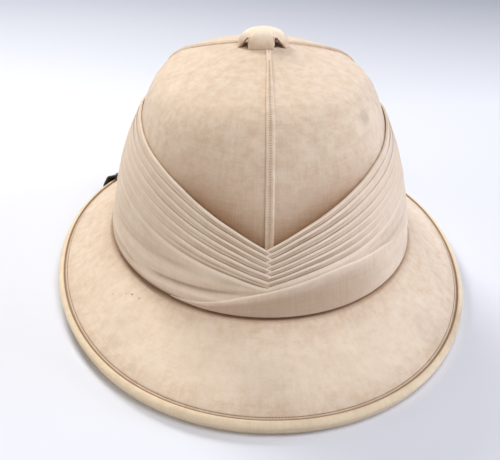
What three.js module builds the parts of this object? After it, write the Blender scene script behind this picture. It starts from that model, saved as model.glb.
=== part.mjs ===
import * as THREE from 'three';

// Pith helmet standing on its rim. Millimetres. Front is -Y, the wearer's left is +X, up is +Z.

// Main sizes
const FOOT_HEIGHT = 36.0;
const FOOT_HALF_WIDTH = 99.0;
const LENGTH_RATIO = 1.205;
const SHELL_THICKNESS = 4.5;
const AIR_HOLE_HALF_WIDTH = 8.0;
const PIECE_GAP = 0.3;

// Brim sizes
const RIM_HALF_WIDTH = 139.7;
const RIM_HALF_LENGTH = 181.7;
const RIM_SQUARENESS = 2.08;
const RIM_TOP_HEIGHT = 6.0;
const RIM_SIDE_RISE = 4.8;
const FRONT_FLAT_END = 35;
const SIDE_MIDDLE = 95;
const BACK_FLAT_START = 160;

// Binding sizes
const BINDING_TOP_WIDTH = 3.6;
const BINDING_UNDER_WIDTH = 6.0;
const BINDING_THICKNESS = 1.2;

// Cover turn: the front seam sits a little to the wearer's right of the middle
const COVER_TURN = -2.2;

// Wrap sizes
const PLEATS = 8;
const PLEAT_CREST = 3.5;
const PLEAT_VALLEY = 2.6;
const BAND_OFFSET = 3.2;
const BAND_FOOT_OFFSET = 4.3;
const WRAP_INNER_OFFSET = 0.5;

// Seam sizes
const SIDE_SEAM_TURN = 118;
const SEAM_WIDTH = 5.0;
const SEAM_THICKNESS = 1.0;
const SEAM_GAP = 0.5;
const SEAM_END_GAP = 1.9;

// Ventilator sizes
const CAP_TOP_HEIGHT = 173.5;
const CAP_HALF_WIDTH = 17.0;
const CAP_HALF_LENGTH = 13.0;
const CAP_WALL = 1.8;
const CAP_OPENING_HEIGHT = 5.4;
const CAP_TURN = -9;
const CAP_SHIFT_X = -0.8;
const CAP_SHIFT_Y = 1.5;

// Strap sizes
const STRAP_WIDTH = 12.0;
const STRAP_THICKNESS = 1.6;
const STRAP_WALL_GAP = 0.9;
const CLIP_WIDTH = 9.0;
const CLIP_THICKNESS = 1.2;

// Facet counts
const SHELL_COLUMNS = 60;
const WRAP_COLUMNS = 72;
const CAP_COLUMNS = 40;

// Crown profile at the side: height and half width of each level
const CROWN_PROFILE = [
  { height: 36.0, halfWidth: 99.0 },
  { height: 60.0, halfWidth: 96.9 },
  { height: 85.0, halfWidth: 91.3 },
  { height: 108.0, halfWidth: 83.6 },
  { height: 122.0, halfWidth: 78.6 },
  { height: 132.0, halfWidth: 74.6 },
  { height: 140.0, halfWidth: 69.8 },
  { height: 146.0, halfWidth: 62.2 },
  { height: 150.0, halfWidth: 53.0 },
  { height: 153.5, halfWidth: 42.5 },
  { height: 157.0, halfWidth: 30.5 },
  { height: 160.0, halfWidth: 19.5 },
  { height: 162.5, halfWidth: 8.0 },
];

// Brim profile from the crown's foot to the rim: share of the way out, share of the drop
const BRIM_PROFILE = [
  { out: 0.0, drop: 0.0 },
  { out: 0.1, drop: 0.045 },
  { out: 0.3, drop: 0.23 },
  { out: 0.55, drop: 0.5 },
  { out: 0.8, drop: 0.78 },
  { out: 1.0, drop: 1.0 },
];

// Wrap edges by azimuth from the front point: height of the top edge and of the lowest pleat
const WRAP_EDGES = [
  { azimuth: 0, top: 76.5, low: 54.5 },
  { azimuth: 12, top: 86.5, low: 60.5 },
  { azimuth: 24, top: 94.5, low: 65.0 },
  { azimuth: 36, top: 101.5, low: 69.0 },
  { azimuth: 50, top: 107.5, low: 74.0 },
  { azimuth: 62, top: 111.5, low: 78.0 },
  { azimuth: 76, top: 116.5, low: 81.0 },
  { azimuth: 90, top: 120.0, low: 83.0 },
];

// Diagonal end fold by azimuth from the front point: height of its edge and how far it stands out
const END_FOLD = [
  { azimuth: -180, height: 40.0, step: 0.0 },
  { azimuth: -40, height: 40.0, step: 0.0 },
  { azimuth: -22, height: 40.5, step: 0.9 },
  { azimuth: -12, height: 46.5, step: 1.1 },
  { azimuth: 0, height: 52.5, step: 1.1 },
  { azimuth: 12, height: 57.7, step: 1.1 },
  { azimuth: 20, height: 61.0, step: 1.1 },
  { azimuth: 28, height: 62.5, step: 1.0 },
  { azimuth: 45, height: 61.5, step: 0.5 },
  { azimuth: 65, height: 57.0, step: 0.0 },
  { azimuth: 180, height: 40.0, step: 0.0 },
];

// Strap run under the brim: azimuth from the front, share of the way out, depth under the brim
const STRAP_UNDER = [
  { azimuth: 93.5, out: -0.03, below: 9.6 },
  { azimuth: 98.0, out: 0.13, below: 9.0 },
  { azimuth: 104.5, out: 0.35, below: 8.0 },
  { azimuth: 112.0, out: 0.53, below: 8.3 },
  { azimuth: 118.0, out: 0.69, below: 8.9 },
];

// Strap round the rim: azimuth, distance outside the rim, height, and its face's outward and upward share
const STRAP_ROUND = [
  { azimuth: 122.4, outward: -10.4, height: 2.7, faceOut: -0.16, faceUp: -0.98 },
  { azimuth: 124.2, outward: -3.8, height: 1.5, faceOut: -0.02, faceUp: -1.0 },
  { azimuth: 125.0, outward: 1.0, height: 1.8, faceOut: 0.2, faceUp: -0.97 },
  { azimuth: 125.6, outward: 3.2, height: 4.2, faceOut: 0.8, faceUp: -0.55 },
  { azimuth: 126.2, outward: 3.1, height: 7.8, faceOut: 1.0, faceUp: 0.05 },
  { azimuth: 126.8, outward: 2.4, height: 11.6, faceOut: 0.8, faceUp: 0.6 },
  { azimuth: 127.6, outward: -1.2, height: 13.8, faceOut: 0.4, faceUp: 0.9 },
];

// Strap run on the brim behind the crown: azimuth, share of the way out, height over the brim
const STRAP_OVER = [
  { azimuth: 129.5, out: 0.89, above: 3.9 },
  { azimuth: 134.0, out: 0.75, above: 2.4 },
  { azimuth: 141.0, out: 0.56, above: 1.5 },
  { azimuth: 150.0, out: 0.39, above: 1.4 },
  { azimuth: 160.0, out: 0.29, above: 1.4 },
  { azimuth: 170.0, out: 0.24, above: 1.4 },
  { azimuth: 180.0, out: 0.22, above: 1.4 },
];

const radians = (degrees) => (degrees * Math.PI) / 180;

function ramp(value, low, high) {
  const share = Math.min(Math.max((value - low) / (high - low), 0), 1);
  return share * share * (3 - 2 * share);
}

function readTable(table, keyName, valueName, key) {
  if (key <= table[0][keyName]) {
    return table[0][valueName];
  }
  for (let index = 1; index < table.length; index += 1) {
    const before = table[index - 1];
    const after = table[index];
    if (key <= after[keyName]) {
      const share = (key - before[keyName]) / (after[keyName] - before[keyName]);
      return before[valueName] + (after[valueName] - before[valueName]) * share;
    }
  }
  return table[table.length - 1][valueName];
}

// Crown surface

const crownCurve = new THREE.CatmullRomCurve3(
  CROWN_PROFILE.map((row) => new THREE.Vector3(row.halfWidth, row.height, 0)),
  false,
  'centripetal',
);

function shareAt(target, readValue) {
  let low = 0;
  let high = 1;
  for (let turn = 0; turn < 40; turn += 1) {
    const middle = (low + high) / 2;
    if (readValue(crownCurve.getPointAt(middle)) < target) {
      low = middle;
    } else {
      high = middle;
    }
  }
  return (low + high) / 2;
}

const crownShareAtHeight = (height) => shareAt(height, (point) => point.y);
const crownShareAtHalfWidth = (halfWidth) => shareAt(-halfWidth, (point) => -point.x);

function crownPoint(azimuth, share, offset) {
  const point = crownCurve.getPointAt(share);
  const tangent = crownCurve.getTangentAt(share);
  const outward = tangent.y;
  const upward = -tangent.x;
  const halfWidth = point.x + offset * outward;
  const halfLength = point.x * LENGTH_RATIO + offset * outward;
  const angle = radians(azimuth);
  return new THREE.Vector3(
    halfWidth * Math.sin(angle),
    -halfLength * Math.cos(angle),
    point.y + offset * upward,
  );
}

// Brim surface

function rimRise(azimuth) {
  const turned = Math.abs(((azimuth + 540) % 360) - 180);
  if (turned < SIDE_MIDDLE) {
    return RIM_SIDE_RISE * ramp(turned, FRONT_FLAT_END, SIDE_MIDDLE);
  }
  return RIM_SIDE_RISE * ramp(BACK_FLAT_START + SIDE_MIDDLE - turned, SIDE_MIDDLE, BACK_FLAT_START);
}

function squared(value) {
  return Math.sign(value) * Math.pow(Math.abs(value), 2 / RIM_SQUARENESS);
}

function brimFrame(azimuth, out) {
  const angle = radians(azimuth);
  const foot = new THREE.Vector3(
    FOOT_HALF_WIDTH * Math.sin(angle),
    -FOOT_HALF_WIDTH * LENGTH_RATIO * Math.cos(angle),
    0,
  );
  const rim = new THREE.Vector3(
    RIM_HALF_WIDTH * squared(Math.sin(angle)),
    -RIM_HALF_LENGTH * squared(Math.cos(angle)),
    0,
  );
  const across = rim.clone().sub(foot);
  const reach = across.length();
  across.normalize();
  const drop = FOOT_HEIGHT - PIECE_GAP - RIM_TOP_HEIGHT - rimRise(azimuth);
  const step = 0.04;
  const before = readTable(BRIM_PROFILE, 'out', 'drop', out - step);
  const after = readTable(BRIM_PROFILE, 'out', 'drop', out + step);
  const span = Math.min(out + step, 1) - Math.max(out - step, 0);
  const slope = (-drop * (after - before)) / (reach * Math.max(span, 0.02));
  const tangent = across.clone().setZ(slope).normalize();
  const flatLength = Math.hypot(tangent.x, tangent.y);
  const normal = across.clone().multiplyScalar(-tangent.z).setZ(flatLength).normalize();
  const point = foot.clone().addScaledVector(across, reach * out);
  point.z = FOOT_HEIGHT - PIECE_GAP - drop * readTable(BRIM_PROFILE, 'out', 'drop', out);
  return { point, tangent, normal, across, reach };
}

function brimPoint(azimuth, out, offset) {
  const frame = brimFrame(azimuth, out);
  return frame.point.addScaledVector(frame.normal, offset);
}

// Solids from grids of points

function closedSolid(points, triangles, name, material) {
  let volume = 0;
  for (const [first, second, third] of triangles) {
    const cross = points[second].clone().cross(points[third]);
    volume += points[first].dot(cross);
  }
  const positions = [];
  const indices = [];
  for (const point of points) {
    positions.push(point.x, point.y, point.z);
  }
  for (const [first, second, third] of triangles) {
    if (volume > 0) {
      indices.push(first, second, third);
    } else {
      indices.push(first, third, second);
    }
  }
  const geometry = new THREE.BufferGeometry();
  geometry.setAttribute('position', new THREE.Float32BufferAttribute(positions, 3));
  geometry.setIndex(indices);
  geometry.computeVertexNormals();
  const mesh = new THREE.Mesh(geometry, material);
  mesh.name = name;
  return mesh;
}

function ringSolid(columns, loopAt, name, material) {
  const points = [];
  let rows = 0;
  for (let column = 0; column < columns; column += 1) {
    const loop = loopAt(column);
    rows = loop.length;
    points.push(...loop);
  }
  const triangles = [];
  for (let column = 0; column < columns; column += 1) {
    const next = (column + 1) % columns;
    for (let row = 0; row < rows; row += 1) {
      const above = (row + 1) % rows;
      const a = column * rows + row;
      const b = next * rows + row;
      const c = next * rows + above;
      const d = column * rows + above;
      triangles.push([a, b, c], [a, c, d]);
    }
  }
  return closedSolid(points, triangles, name, material);
}

function sweptSolid(sections, name, material) {
  const points = sections.flat();
  const sides = sections[0].length;
  const triangles = [];
  for (let station = 0; station + 1 < sections.length; station += 1) {
    for (let side = 0; side < sides; side += 1) {
      const next = (side + 1) % sides;
      const a = station * sides + side;
      const b = station * sides + next;
      triangles.push([a, b, b + sides], [a, b + sides, a + sides]);
    }
  }
  const last = (sections.length - 1) * sides;
  for (let side = 1; side + 1 < sides; side += 1) {
    triangles.push([0, side + 1, side], [last, last + side, last + side + 1]);
  }
  return closedSolid(points, triangles, name, material);
}

function domeSolid(columns, rowsAt, outerPole, innerPole, name, material) {
  const points = [];
  let rows = 0;
  for (let column = 0; column < columns; column += 1) {
    const strip = rowsAt(column);
    rows = strip.length;
    points.push(...strip);
  }
  const outer = points.push(outerPole) - 1;
  const inner = points.push(innerPole) - 1;
  const triangles = [];
  for (let column = 0; column < columns; column += 1) {
    const next = (column + 1) % columns;
    triangles.push([outer, column * rows, next * rows]);
    for (let row = 0; row + 1 < rows; row += 1) {
      const a = column * rows + row;
      const b = next * rows + row;
      triangles.push([a, a + 1, b + 1], [a, b + 1, b]);
    }
    triangles.push([inner, next * rows + rows - 1, column * rows + rows - 1]);
  }
  return closedSolid(points, triangles, name, material);
}

// Materials

const coverCloth = new THREE.MeshStandardMaterial({ color: 0xd9c4a6, roughness: 0.9, metalness: 0 });
const wrapCloth = new THREE.MeshStandardMaterial({ color: 0xdecdb4, roughness: 0.92, metalness: 0 });
const bindingCloth = new THREE.MeshStandardMaterial({ color: 0xead9b8, roughness: 0.85, metalness: 0 });
const strapLeather = new THREE.MeshStandardMaterial({ color: 0x2a1a14, roughness: 0.5, metalness: 0 });
const clipBrass = new THREE.MeshStandardMaterial({ color: 0x9c7c3c, roughness: 0.4, metalness: 1 });

// Crown: outer wall up to the air hole, then the inner wall down again

function makeCrown() {
  const topShare = crownShareAtHalfWidth(AIR_HOLE_HALF_WIDTH + 0.2);
  const outerHeights = [36, 48, 60, 72.5, 85, 97, 108, 120, 131, 139];
  const outerShares = outerHeights.map(crownShareAtHeight);
  for (const halfWidth of [64.5, 55.5, 44, 31, 19]) {
    outerShares.push(crownShareAtHalfWidth(halfWidth));
  }
  outerShares.push(topShare);
  const innerShares = [topShare];
  for (const halfWidth of [30, 50, 66]) {
    innerShares.push(crownShareAtHalfWidth(halfWidth));
  }
  for (const height of [128, 108, 82, 58]) {
    innerShares.push(crownShareAtHeight(height));
  }
  innerShares.push(0);
  return ringSolid(SHELL_COLUMNS, (column) => {
    const azimuth = COVER_TURN + (column * 360) / SHELL_COLUMNS;
    const outside = outerShares.map((share) => crownPoint(azimuth, share, 0));
    const inside = innerShares.map((share) => crownPoint(azimuth, share, -SHELL_THICKNESS));
    outside[0].z = FOOT_HEIGHT;
    inside[inside.length - 1].z = FOOT_HEIGHT;
    return outside.concat(inside);
  }, 'crown', coverCloth);
}

// Brim: top face from the crown's foot to the rim, then the underside back in

function makeBrim() {
  const outs = [0.0, 0.1, 0.3, 0.55, 0.8, 1.0];
  return ringSolid(SHELL_COLUMNS, (column) => {
    const azimuth = COVER_TURN + (column * 360) / SHELL_COLUMNS;
    const top = outs.map((out) => brimPoint(azimuth, out, 0));
    const under = outs.map((out) => brimPoint(azimuth, out, -SHELL_THICKNESS)).reverse();
    const innerTop = crownPoint(azimuth, 0, -SHELL_THICKNESS);
    innerTop.z = FOOT_HEIGHT - PIECE_GAP;
    const innerUnder = innerTop.clone();
    innerUnder.z = FOOT_HEIGHT - PIECE_GAP - SHELL_THICKNESS;
    return [innerTop].concat(top, under, [innerUnder]);
  }, 'brim', coverCloth);
}

// Binding: a channel round the rim with a flat foot

function makeBinding() {
  const under = -SHELL_THICKNESS;
  const skin = PIECE_GAP + BINDING_THICKNESS;
  const round = [
    { along: -BINDING_TOP_WIDTH, up: skin - 0.3 },
    { along: -0.8, up: skin + 0.1 },
    { along: 0.9, up: 0.7 },
    { along: skin, up: -1.3 },
    { along: skin - 0.1, up: -3.4 },
  ];
  const inside = [
    { along: -BINDING_UNDER_WIDTH, up: under - PIECE_GAP },
    { along: PIECE_GAP, up: under - PIECE_GAP },
    { along: PIECE_GAP, up: PIECE_GAP },
    { along: -BINDING_TOP_WIDTH, up: PIECE_GAP },
  ];
  return ringSolid(SHELL_COLUMNS, (column) => {
    const azimuth = COVER_TURN + (column * 360) / SHELL_COLUMNS;
    const rim = brimFrame(azimuth, 1);
    const place = (row) => rim.point.clone()
      .addScaledVector(rim.tangent, row.along)
      .addScaledVector(rim.normal, row.up);
    const corner = place({ along: 0, up: under });
    const footOuter = corner.clone().addScaledVector(rim.across, 0.9).setZ(rimRise(azimuth));
    const footInner = corner.clone().addScaledVector(rim.across, -2.2).setZ(rimRise(azimuth));
    const underEdge = place({ along: -BINDING_UNDER_WIDTH, up: under - skin + 0.2 });
    return round.map(place).concat([footOuter, footInner, underEdge], inside.map(place));
  }, 'rim_binding', bindingCloth);
}

// Wrap

function wrapEdge(azimuth, name) {
  const turned = Math.abs(((azimuth + 540) % 360) - 180);
  const mirrored = turned > 90 ? 180 - turned : turned;
  return readTable(WRAP_EDGES, 'azimuth', name, mirrored);
}

function makeWrap() {
  return ringSolid(WRAP_COLUMNS, (column) => {
    const turned = ((column * 360) / WRAP_COLUMNS + 180) % 360 - 180;
    const azimuth = COVER_TURN + turned;
    const top = wrapEdge(turned, 'top');
    const low = wrapEdge(turned, 'low');
    const foldHeight = Math.min(readTable(END_FOLD, 'azimuth', 'height', turned), low - 1.6);
    const foldStep = readTable(END_FOLD, 'azimuth', 'step', turned);
    const at = (height, offset) => crownPoint(azimuth, crownShareAtHeight(height), offset);
    const loop = [];
    const pitch = (top - low) / PLEATS;
    for (let pleat = 0; pleat < PLEATS; pleat += 1) {
      const crest = top - pitch * pleat;
      loop.push(at(crest, pleat === 0 ? PLEAT_CREST - 0.5 : PLEAT_CREST));
      loop.push(at(crest - pitch + 0.5, PLEAT_VALLEY));
    }
    loop.push(at(low, PLEAT_CREST));
    loop.push(at(foldHeight + 0.8, BAND_OFFSET));
    loop.push(at(foldHeight, BAND_OFFSET + foldStep));
    const reach = brimFrame(azimuth, 0).reach;
    const footOffset = BAND_FOOT_OFFSET + 0.5 * foldStep;
    const foot = brimPoint(azimuth, footOffset / reach, 0.45);
    const lip = at(Math.max(foot.z + 3, FOOT_HEIGHT + 1), 0);
    lip.add(brimFrame(azimuth, 0).across.clone().multiplyScalar(footOffset));
    loop.push(lip);
    loop.push(foot);
    const bottom = crownPoint(azimuth, 0, WRAP_INNER_OFFSET);
    bottom.z = FOOT_HEIGHT + 0.35;
    loop.push(bottom);
    const innerRows = 6;
    for (let row = 1; row <= innerRows; row += 1) {
      const height = FOOT_HEIGHT + 0.35 + ((top - 0.4 - FOOT_HEIGHT - 0.35) * row) / innerRows;
      loop.push(at(height, WRAP_INNER_OFFSET));
    }
    return loop;
  }, 'pagri', wrapCloth);
}

// Seams

function makeSeam(name, turned, startHalfWidth) {
  const azimuth = COVER_TURN + turned;
  const start = crownShareAtHalfWidth(startHalfWidth);
  const end = crownShareAtHeight(wrapEdge(turned, 'top') + SEAM_END_GAP);
  const stations = 13;
  const sections = [];
  const angle = radians(azimuth);
  const forward = new THREE.Vector3(Math.cos(angle), LENGTH_RATIO * Math.sin(angle), 0).normalize();
  for (let station = 0; station < stations; station += 1) {
    const share = start + ((end - start) * station) / (stations - 1);
    const below = crownPoint(azimuth, share, SEAM_GAP);
    const above = crownPoint(azimuth, share, SEAM_GAP + SEAM_THICKNESS);
    const half = forward.clone().multiplyScalar(SEAM_WIDTH / 2);
    const crest = forward.clone().multiplyScalar(SEAM_WIDTH / 2 - 0.4);
    sections.push([
      below.clone().sub(half),
      above.clone().sub(crest),
      above.clone().add(crest),
      below.clone().add(half),
    ]);
  }
  return sweptSolid(sections, name, coverCloth);
}

// Ventilator cap: a domed button on four legs, open at its four corners

function capOpening(turned) {
  const fromCorner = Math.abs((((turned % 90) + 90) % 90) - 45);
  return 1 - ramp(fromCorner, 7, 18);
}

function makeCap() {
  const center = new THREE.Vector3(CAP_SHIFT_X, CAP_SHIFT_Y, CAP_TOP_HEIGHT);
  const levels = [
    { reach: 0.38, fall: 0.6 },
    { reach: 0.64, fall: 2.2 },
    { reach: 0.84, fall: 5.2 },
  ];
  const spot = (turned, reach, height) => {
    const angle = radians(turned + CAP_TURN);
    return new THREE.Vector3(
      center.x + CAP_HALF_WIDTH * reach * Math.sin(angle),
      center.y - CAP_HALF_LENGTH * reach * Math.cos(angle),
      height,
    );
  };
  const ground = (point) => {
    const halfWidth = Math.max(Math.hypot(point.x, point.y / LENGTH_RATIO), AIR_HOLE_HALF_WIDTH + 0.3);
    return crownCurve.getPointAt(crownShareAtHalfWidth(halfWidth)).y + 0.35;
  };
  return domeSolid(CAP_COLUMNS, (column) => {
    const turned = (column * 360) / CAP_COLUMNS;
    const open = capOpening(turned);
    const edgeReach = 1 - 0.1 * open;
    const edge = spot(turned, edgeReach, 0);
    edge.z = ground(edge) + CAP_OPENING_HEIGHT * open;
    const outside = levels.map((row) => spot(
      turned,
      row.reach - 0.07 * open * row.reach,
      CAP_TOP_HEIGHT - row.fall,
    ));
    const inset = CAP_WALL / CAP_HALF_LENGTH;
    const innerEdge = spot(turned, edgeReach - inset, 0);
    innerEdge.z = ground(innerEdge) + CAP_OPENING_HEIGHT * open;
    const inside = levels.map((row) => spot(
      turned,
      Math.max(row.reach - 0.07 * open * row.reach - inset * 0.8, 0.22),
      CAP_TOP_HEIGHT - row.fall - CAP_WALL * (row.reach > 0.8 ? 0.55 : 1),
    ));
    inside.reverse();
    return outside.concat([edge, innerEdge], inside);
  }, center, center.clone().setZ(CAP_TOP_HEIGHT - CAP_WALL), 'vent_cap', coverCloth);
}

// Chin strap: from one side of the crown, under the brim, over its edge and round the back

function strapRun() {
  const run = [];
  const side = new THREE.Vector3(-1, 0, 0.06).normalize();
  const depth = -SHELL_THICKNESS - STRAP_WALL_GAP - STRAP_THICKNESS / 2;
  for (const height of [54, 48, 42]) {
    const point = crownPoint(92, crownShareAtHeight(height), depth);
    run.push({ point, face: side.clone() });
  }
  const low = crownPoint(92.3, 0, -SHELL_THICKNESS - 1.6 - STRAP_THICKNESS / 2);
  low.z = FOOT_HEIGHT - 3.2;
  run.push({ point: low, face: new THREE.Vector3(-0.93, 0, -0.37) });
  for (const row of STRAP_UNDER) {
    const frame = brimFrame(row.azimuth, Math.max(row.out, 0));
    const point = frame.point.clone().addScaledVector(frame.normal, -row.below);
    point.addScaledVector(frame.across, frame.reach * Math.min(row.out, 0));
    run.push({ point, face: frame.normal.clone().negate() });
  }
  for (const row of STRAP_ROUND) {
    const rim = brimFrame(row.azimuth, 1);
    const point = rim.point.clone().addScaledVector(rim.across, row.outward).setZ(row.height);
    const face = rim.across.clone().multiplyScalar(row.faceOut).setZ(row.faceUp).normalize();
    run.push({ point, face });
  }
  for (const row of STRAP_OVER) {
    const frame = brimFrame(row.azimuth, row.out);
    const point = frame.point.clone().addScaledVector(frame.normal, row.above);
    run.push({ point, face: frame.normal.clone() });
  }
  const mirrored = run.slice(0, -1).reverse().map((row) => ({
    point: row.point.clone().setX(-row.point.x),
    face: row.face.clone().setX(-row.face.x),
  }));
  return run.concat(mirrored);
}

function ribbonSections(run, width, thickness, stations) {
  const path = new THREE.CatmullRomCurve3(run.map((row) => row.point), false, 'centripetal');
  const faces = new THREE.CatmullRomCurve3(run.map((row) => row.face), false, 'centripetal');
  const sections = [];
  for (let station = 0; station < stations; station += 1) {
    const share = station / (stations - 1);
    const point = path.getPoint(share);
    const tangent = path.getTangent(share);
    const face = faces.getPoint(share);
    face.addScaledVector(tangent, -face.dot(tangent)).normalize();
    const across = face.clone().cross(tangent).normalize();
    const half = across.multiplyScalar(width / 2);
    const lift = face.multiplyScalar(thickness / 2);
    sections.push([
      point.clone().sub(half).sub(lift),
      point.clone().sub(half).add(lift),
      point.clone().add(half).add(lift),
      point.clone().add(half).sub(lift),
    ]);
  }
  return sections;
}

function makeStrap() {
  const run = strapRun();
  const stations = (run.length - 1) * 2 + 1;
  const sections = ribbonSections(run, STRAP_WIDTH, STRAP_THICKNESS, stations);
  return sweptSolid(sections, 'chin_strap', strapLeather);
}

// Clips over the strap's ends

function makeClip(name, direction) {
  const strapInner = SHELL_THICKNESS + STRAP_WALL_GAP + STRAP_THICKNESS;
  const offset = -strapInner - 0.35 - CLIP_THICKNESS / 2;
  const run = [55.5, 51, 46.5].map((height) => ({
    point: crownPoint(92 * direction, crownShareAtHeight(height), offset),
    face: new THREE.Vector3(-direction, 0, 0.06).normalize(),
  }));
  return sweptSolid(ribbonSections(run, CLIP_WIDTH, CLIP_THICKNESS, 3), name, clipBrass);
}

const helmet = new THREE.Group();
helmet.name = 'pith_helmet';
helmet.add(makeCrown());
helmet.add(makeBrim());
helmet.add(makeBinding());
helmet.add(makeWrap());
helmet.add(makeSeam('seam_front', 0, 11.6));
helmet.add(makeSeam('seam_left', SIDE_SEAM_TURN, 18.6));
helmet.add(makeSeam('seam_back', 180, 13.6));
helmet.add(makeSeam('seam_right', -SIDE_SEAM_TURN, 18.6));
helmet.add(makeCap());
helmet.add(makeStrap());
helmet.add(makeClip('strap_clip_left', 1));
helmet.add(makeClip('strap_clip_right', -1));

export default helmet;
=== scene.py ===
"""Pith helmet: cloth-covered crown and brim, pleated wrap, bound rim, ventilator and chin strap."""

import math

import bmesh
import bpy
from mathutils import Matrix, Vector, noise


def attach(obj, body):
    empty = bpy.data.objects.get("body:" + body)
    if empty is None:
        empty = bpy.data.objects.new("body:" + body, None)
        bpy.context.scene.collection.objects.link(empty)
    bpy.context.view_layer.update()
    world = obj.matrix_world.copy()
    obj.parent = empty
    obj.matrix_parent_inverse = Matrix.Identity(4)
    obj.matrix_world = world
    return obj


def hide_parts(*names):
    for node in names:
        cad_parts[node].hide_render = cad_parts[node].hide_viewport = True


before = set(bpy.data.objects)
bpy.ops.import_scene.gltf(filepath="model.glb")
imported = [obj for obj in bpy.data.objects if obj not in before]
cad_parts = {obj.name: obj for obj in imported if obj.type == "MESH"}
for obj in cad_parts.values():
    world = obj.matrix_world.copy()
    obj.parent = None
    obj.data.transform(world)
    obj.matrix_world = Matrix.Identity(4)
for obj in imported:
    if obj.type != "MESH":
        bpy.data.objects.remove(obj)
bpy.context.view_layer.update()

bl_info = {
    "name": "Pith helmet",
    "version": (1, 0, 0),
    "blender": (4, 5, 0),
    "location": "View3D > Sidebar > Helmet",
    "description": "Dresses the solids of a cloth-covered pith helmet with its cloths, "
    "stitches and strap",
    "category": "Object",
}

# Sizes are in millimetres where nothing else is said. Azimuths and turns are in degrees from the
# front, towards +X.

MM = 0.001
STACK_STEP = 0.01
FOOT_HEIGHT = 36.0
FOOT_HALF_WIDTH = 99.0
LENGTH_RATIO = 1.205
SHELL_THICKNESS = 4.5
AIR_HOLE_HALF_WIDTH = 8.0
PIECE_GAP = 0.3
RIM_HALF_WIDTH = 139.7
RIM_HALF_LENGTH = 181.7
RIM_SQUARENESS = 2.08
RIM_TOP_HEIGHT = 6.0
RIM_SIDE_RISE = 4.8
FRONT_FLAT_END = 35
SIDE_MIDDLE = 95
BACK_FLAT_START = 160
COVER_TURN = -2.2
CAP_TOP_HEIGHT = 173.5
CAP_HALF_WIDTH = 17.0
CAP_HALF_LENGTH = 13.0
CAP_WALL = 1.8
CAP_OPENING_HEIGHT = 6.8
CAP_TURN = -9
CAP_SHIFT_X = -0.8
CAP_SHIFT_Y = 1.5
SIDE_SEAM_TURN = 118
SEAM_BEND_HALF_WIDTH = 62.0
SEAM_BEND_SHARE = 0.45
SEAM_TAPER_END = 0.55
STITCH_LINE_INSET = 5.0
STITCH_TIP = 0.22
RIM_STITCHES = 560
RIM_STITCH_SIZE = (1.35, 0.34, 0.26)
SEAM_STITCH_SIZE = (1.5, 0.4, 0.3)
CROWN_STEPS = 40
STRAP_STEPS = 6
BAND_FOOT = 1.6
ARM_SHIFT = 0.7
STRAP_WALL_GAP = 0.9

# Crown profile at the side: height, half width
CROWN_PROFILE = [
    (36.0, 99.0),
    (60.0, 96.9),
    (85.0, 91.3),
    (108.0, 83.6),
    (122.0, 78.6),
    (132.0, 74.6),
    (140.0, 69.8),
    (146.0, 62.2),
    (150.0, 53.0),
    (153.5, 42.5),
    (157.0, 30.5),
    (160.0, 19.5),
    (162.5, 8.0),
]

# Brim profile from the crown's foot to the rim: share of the way out, share of the drop
BRIM_PROFILE = [(0.0, 0.0), (0.1, 0.045), (0.3, 0.23), (0.55, 0.5), (0.8, 0.78), (1.0, 1.0)]

# Wrap edges by turn from the front: turn, height of the top edge, height of the lowest pleat
WRAP_EDGES = [
    (0, 76.5, 54.5),
    (12, 86.5, 60.5),
    (24, 94.5, 65.0),
    (36, 101.5, 69.0),
    (50, 107.5, 74.0),
    (62, 111.5, 78.0),
    (76, 116.5, 81.0),
    (90, 120.0, 83.0),
]

# Pleat edges as shares of the way from the top edge to the lowest pleat
PLEAT_SHARES = {
    "left": [0.0, 0.12, 0.28, 0.44, 0.58, 0.71, 0.85],
    "right": [0.0, 0.14, 0.29, 0.425, 0.6, 0.78],
}

# Diagonal end fold: turn from the front, height of its edge, how far it stands out
END_FOLD = [
    (-36, 36.6, 0.0),
    (-28, 38.2, 0.35),
    (-22, 40.5, 0.8),
    (-12, 46.5, 1.05),
    (0, 52.5, 1.1),
    (12, 57.7, 1.1),
    (20, 61.0, 1.1),
    (28, 62.5, 1.0),
    (45, 61.5, 0.5),
    (65, 57.0, 0.0),
    (80, 52.0, -0.3),
]

# Soft rolls and creases on the plain band: first turn, last turn, height at each, width, depth
BAND_ROLLS = [
    (-44, -8, 45.5, 49.8, 1.2, -0.85),
    (-50, -10, 42.0, 44.8, 2.2, 0.8),
    (-62, -18, 52.0, 54.5, 2.6, 0.45),
    (-70, -26, 57.5, 58.5, 1.6, -0.45),
    (-78, -40, 41.5, 44.0, 1.2, -0.6),
    (-96, -40, 47.0, 44.0, 3.4, 0.4),
    (-120, -60, 60.0, 62.0, 3.0, -0.3),
    (18, 66, 45.0, 52.0, 3.0, 0.45),
    (24, 70, 54.5, 57.0, 1.3, -0.4),
    (36, 90, 60.0, 66.0, 2.0, -0.45),
    (58, 112, 50.0, 46.0, 3.6, 0.45),
    (100, 160, 62.0, 56.0, 2.6, -0.35),
    (120, 176, 47.0, 50.0, 3.2, 0.4),
    (-168, -128, 52.0, 58.0, 2.4, -0.35),
    (-150, -104, 44.0, 46.0, 2.8, 0.4),
]

# Chin strap under the brim: azimuth, share of the way out, depth under the brim
STRAP_UNDER = [
    (93.5, -0.03, 9.6),
    (98.0, 0.13, 9.0),
    (104.5, 0.35, 8.0),
    (112.0, 0.53, 8.3),
    (118.0, 0.69, 8.9),
]

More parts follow.
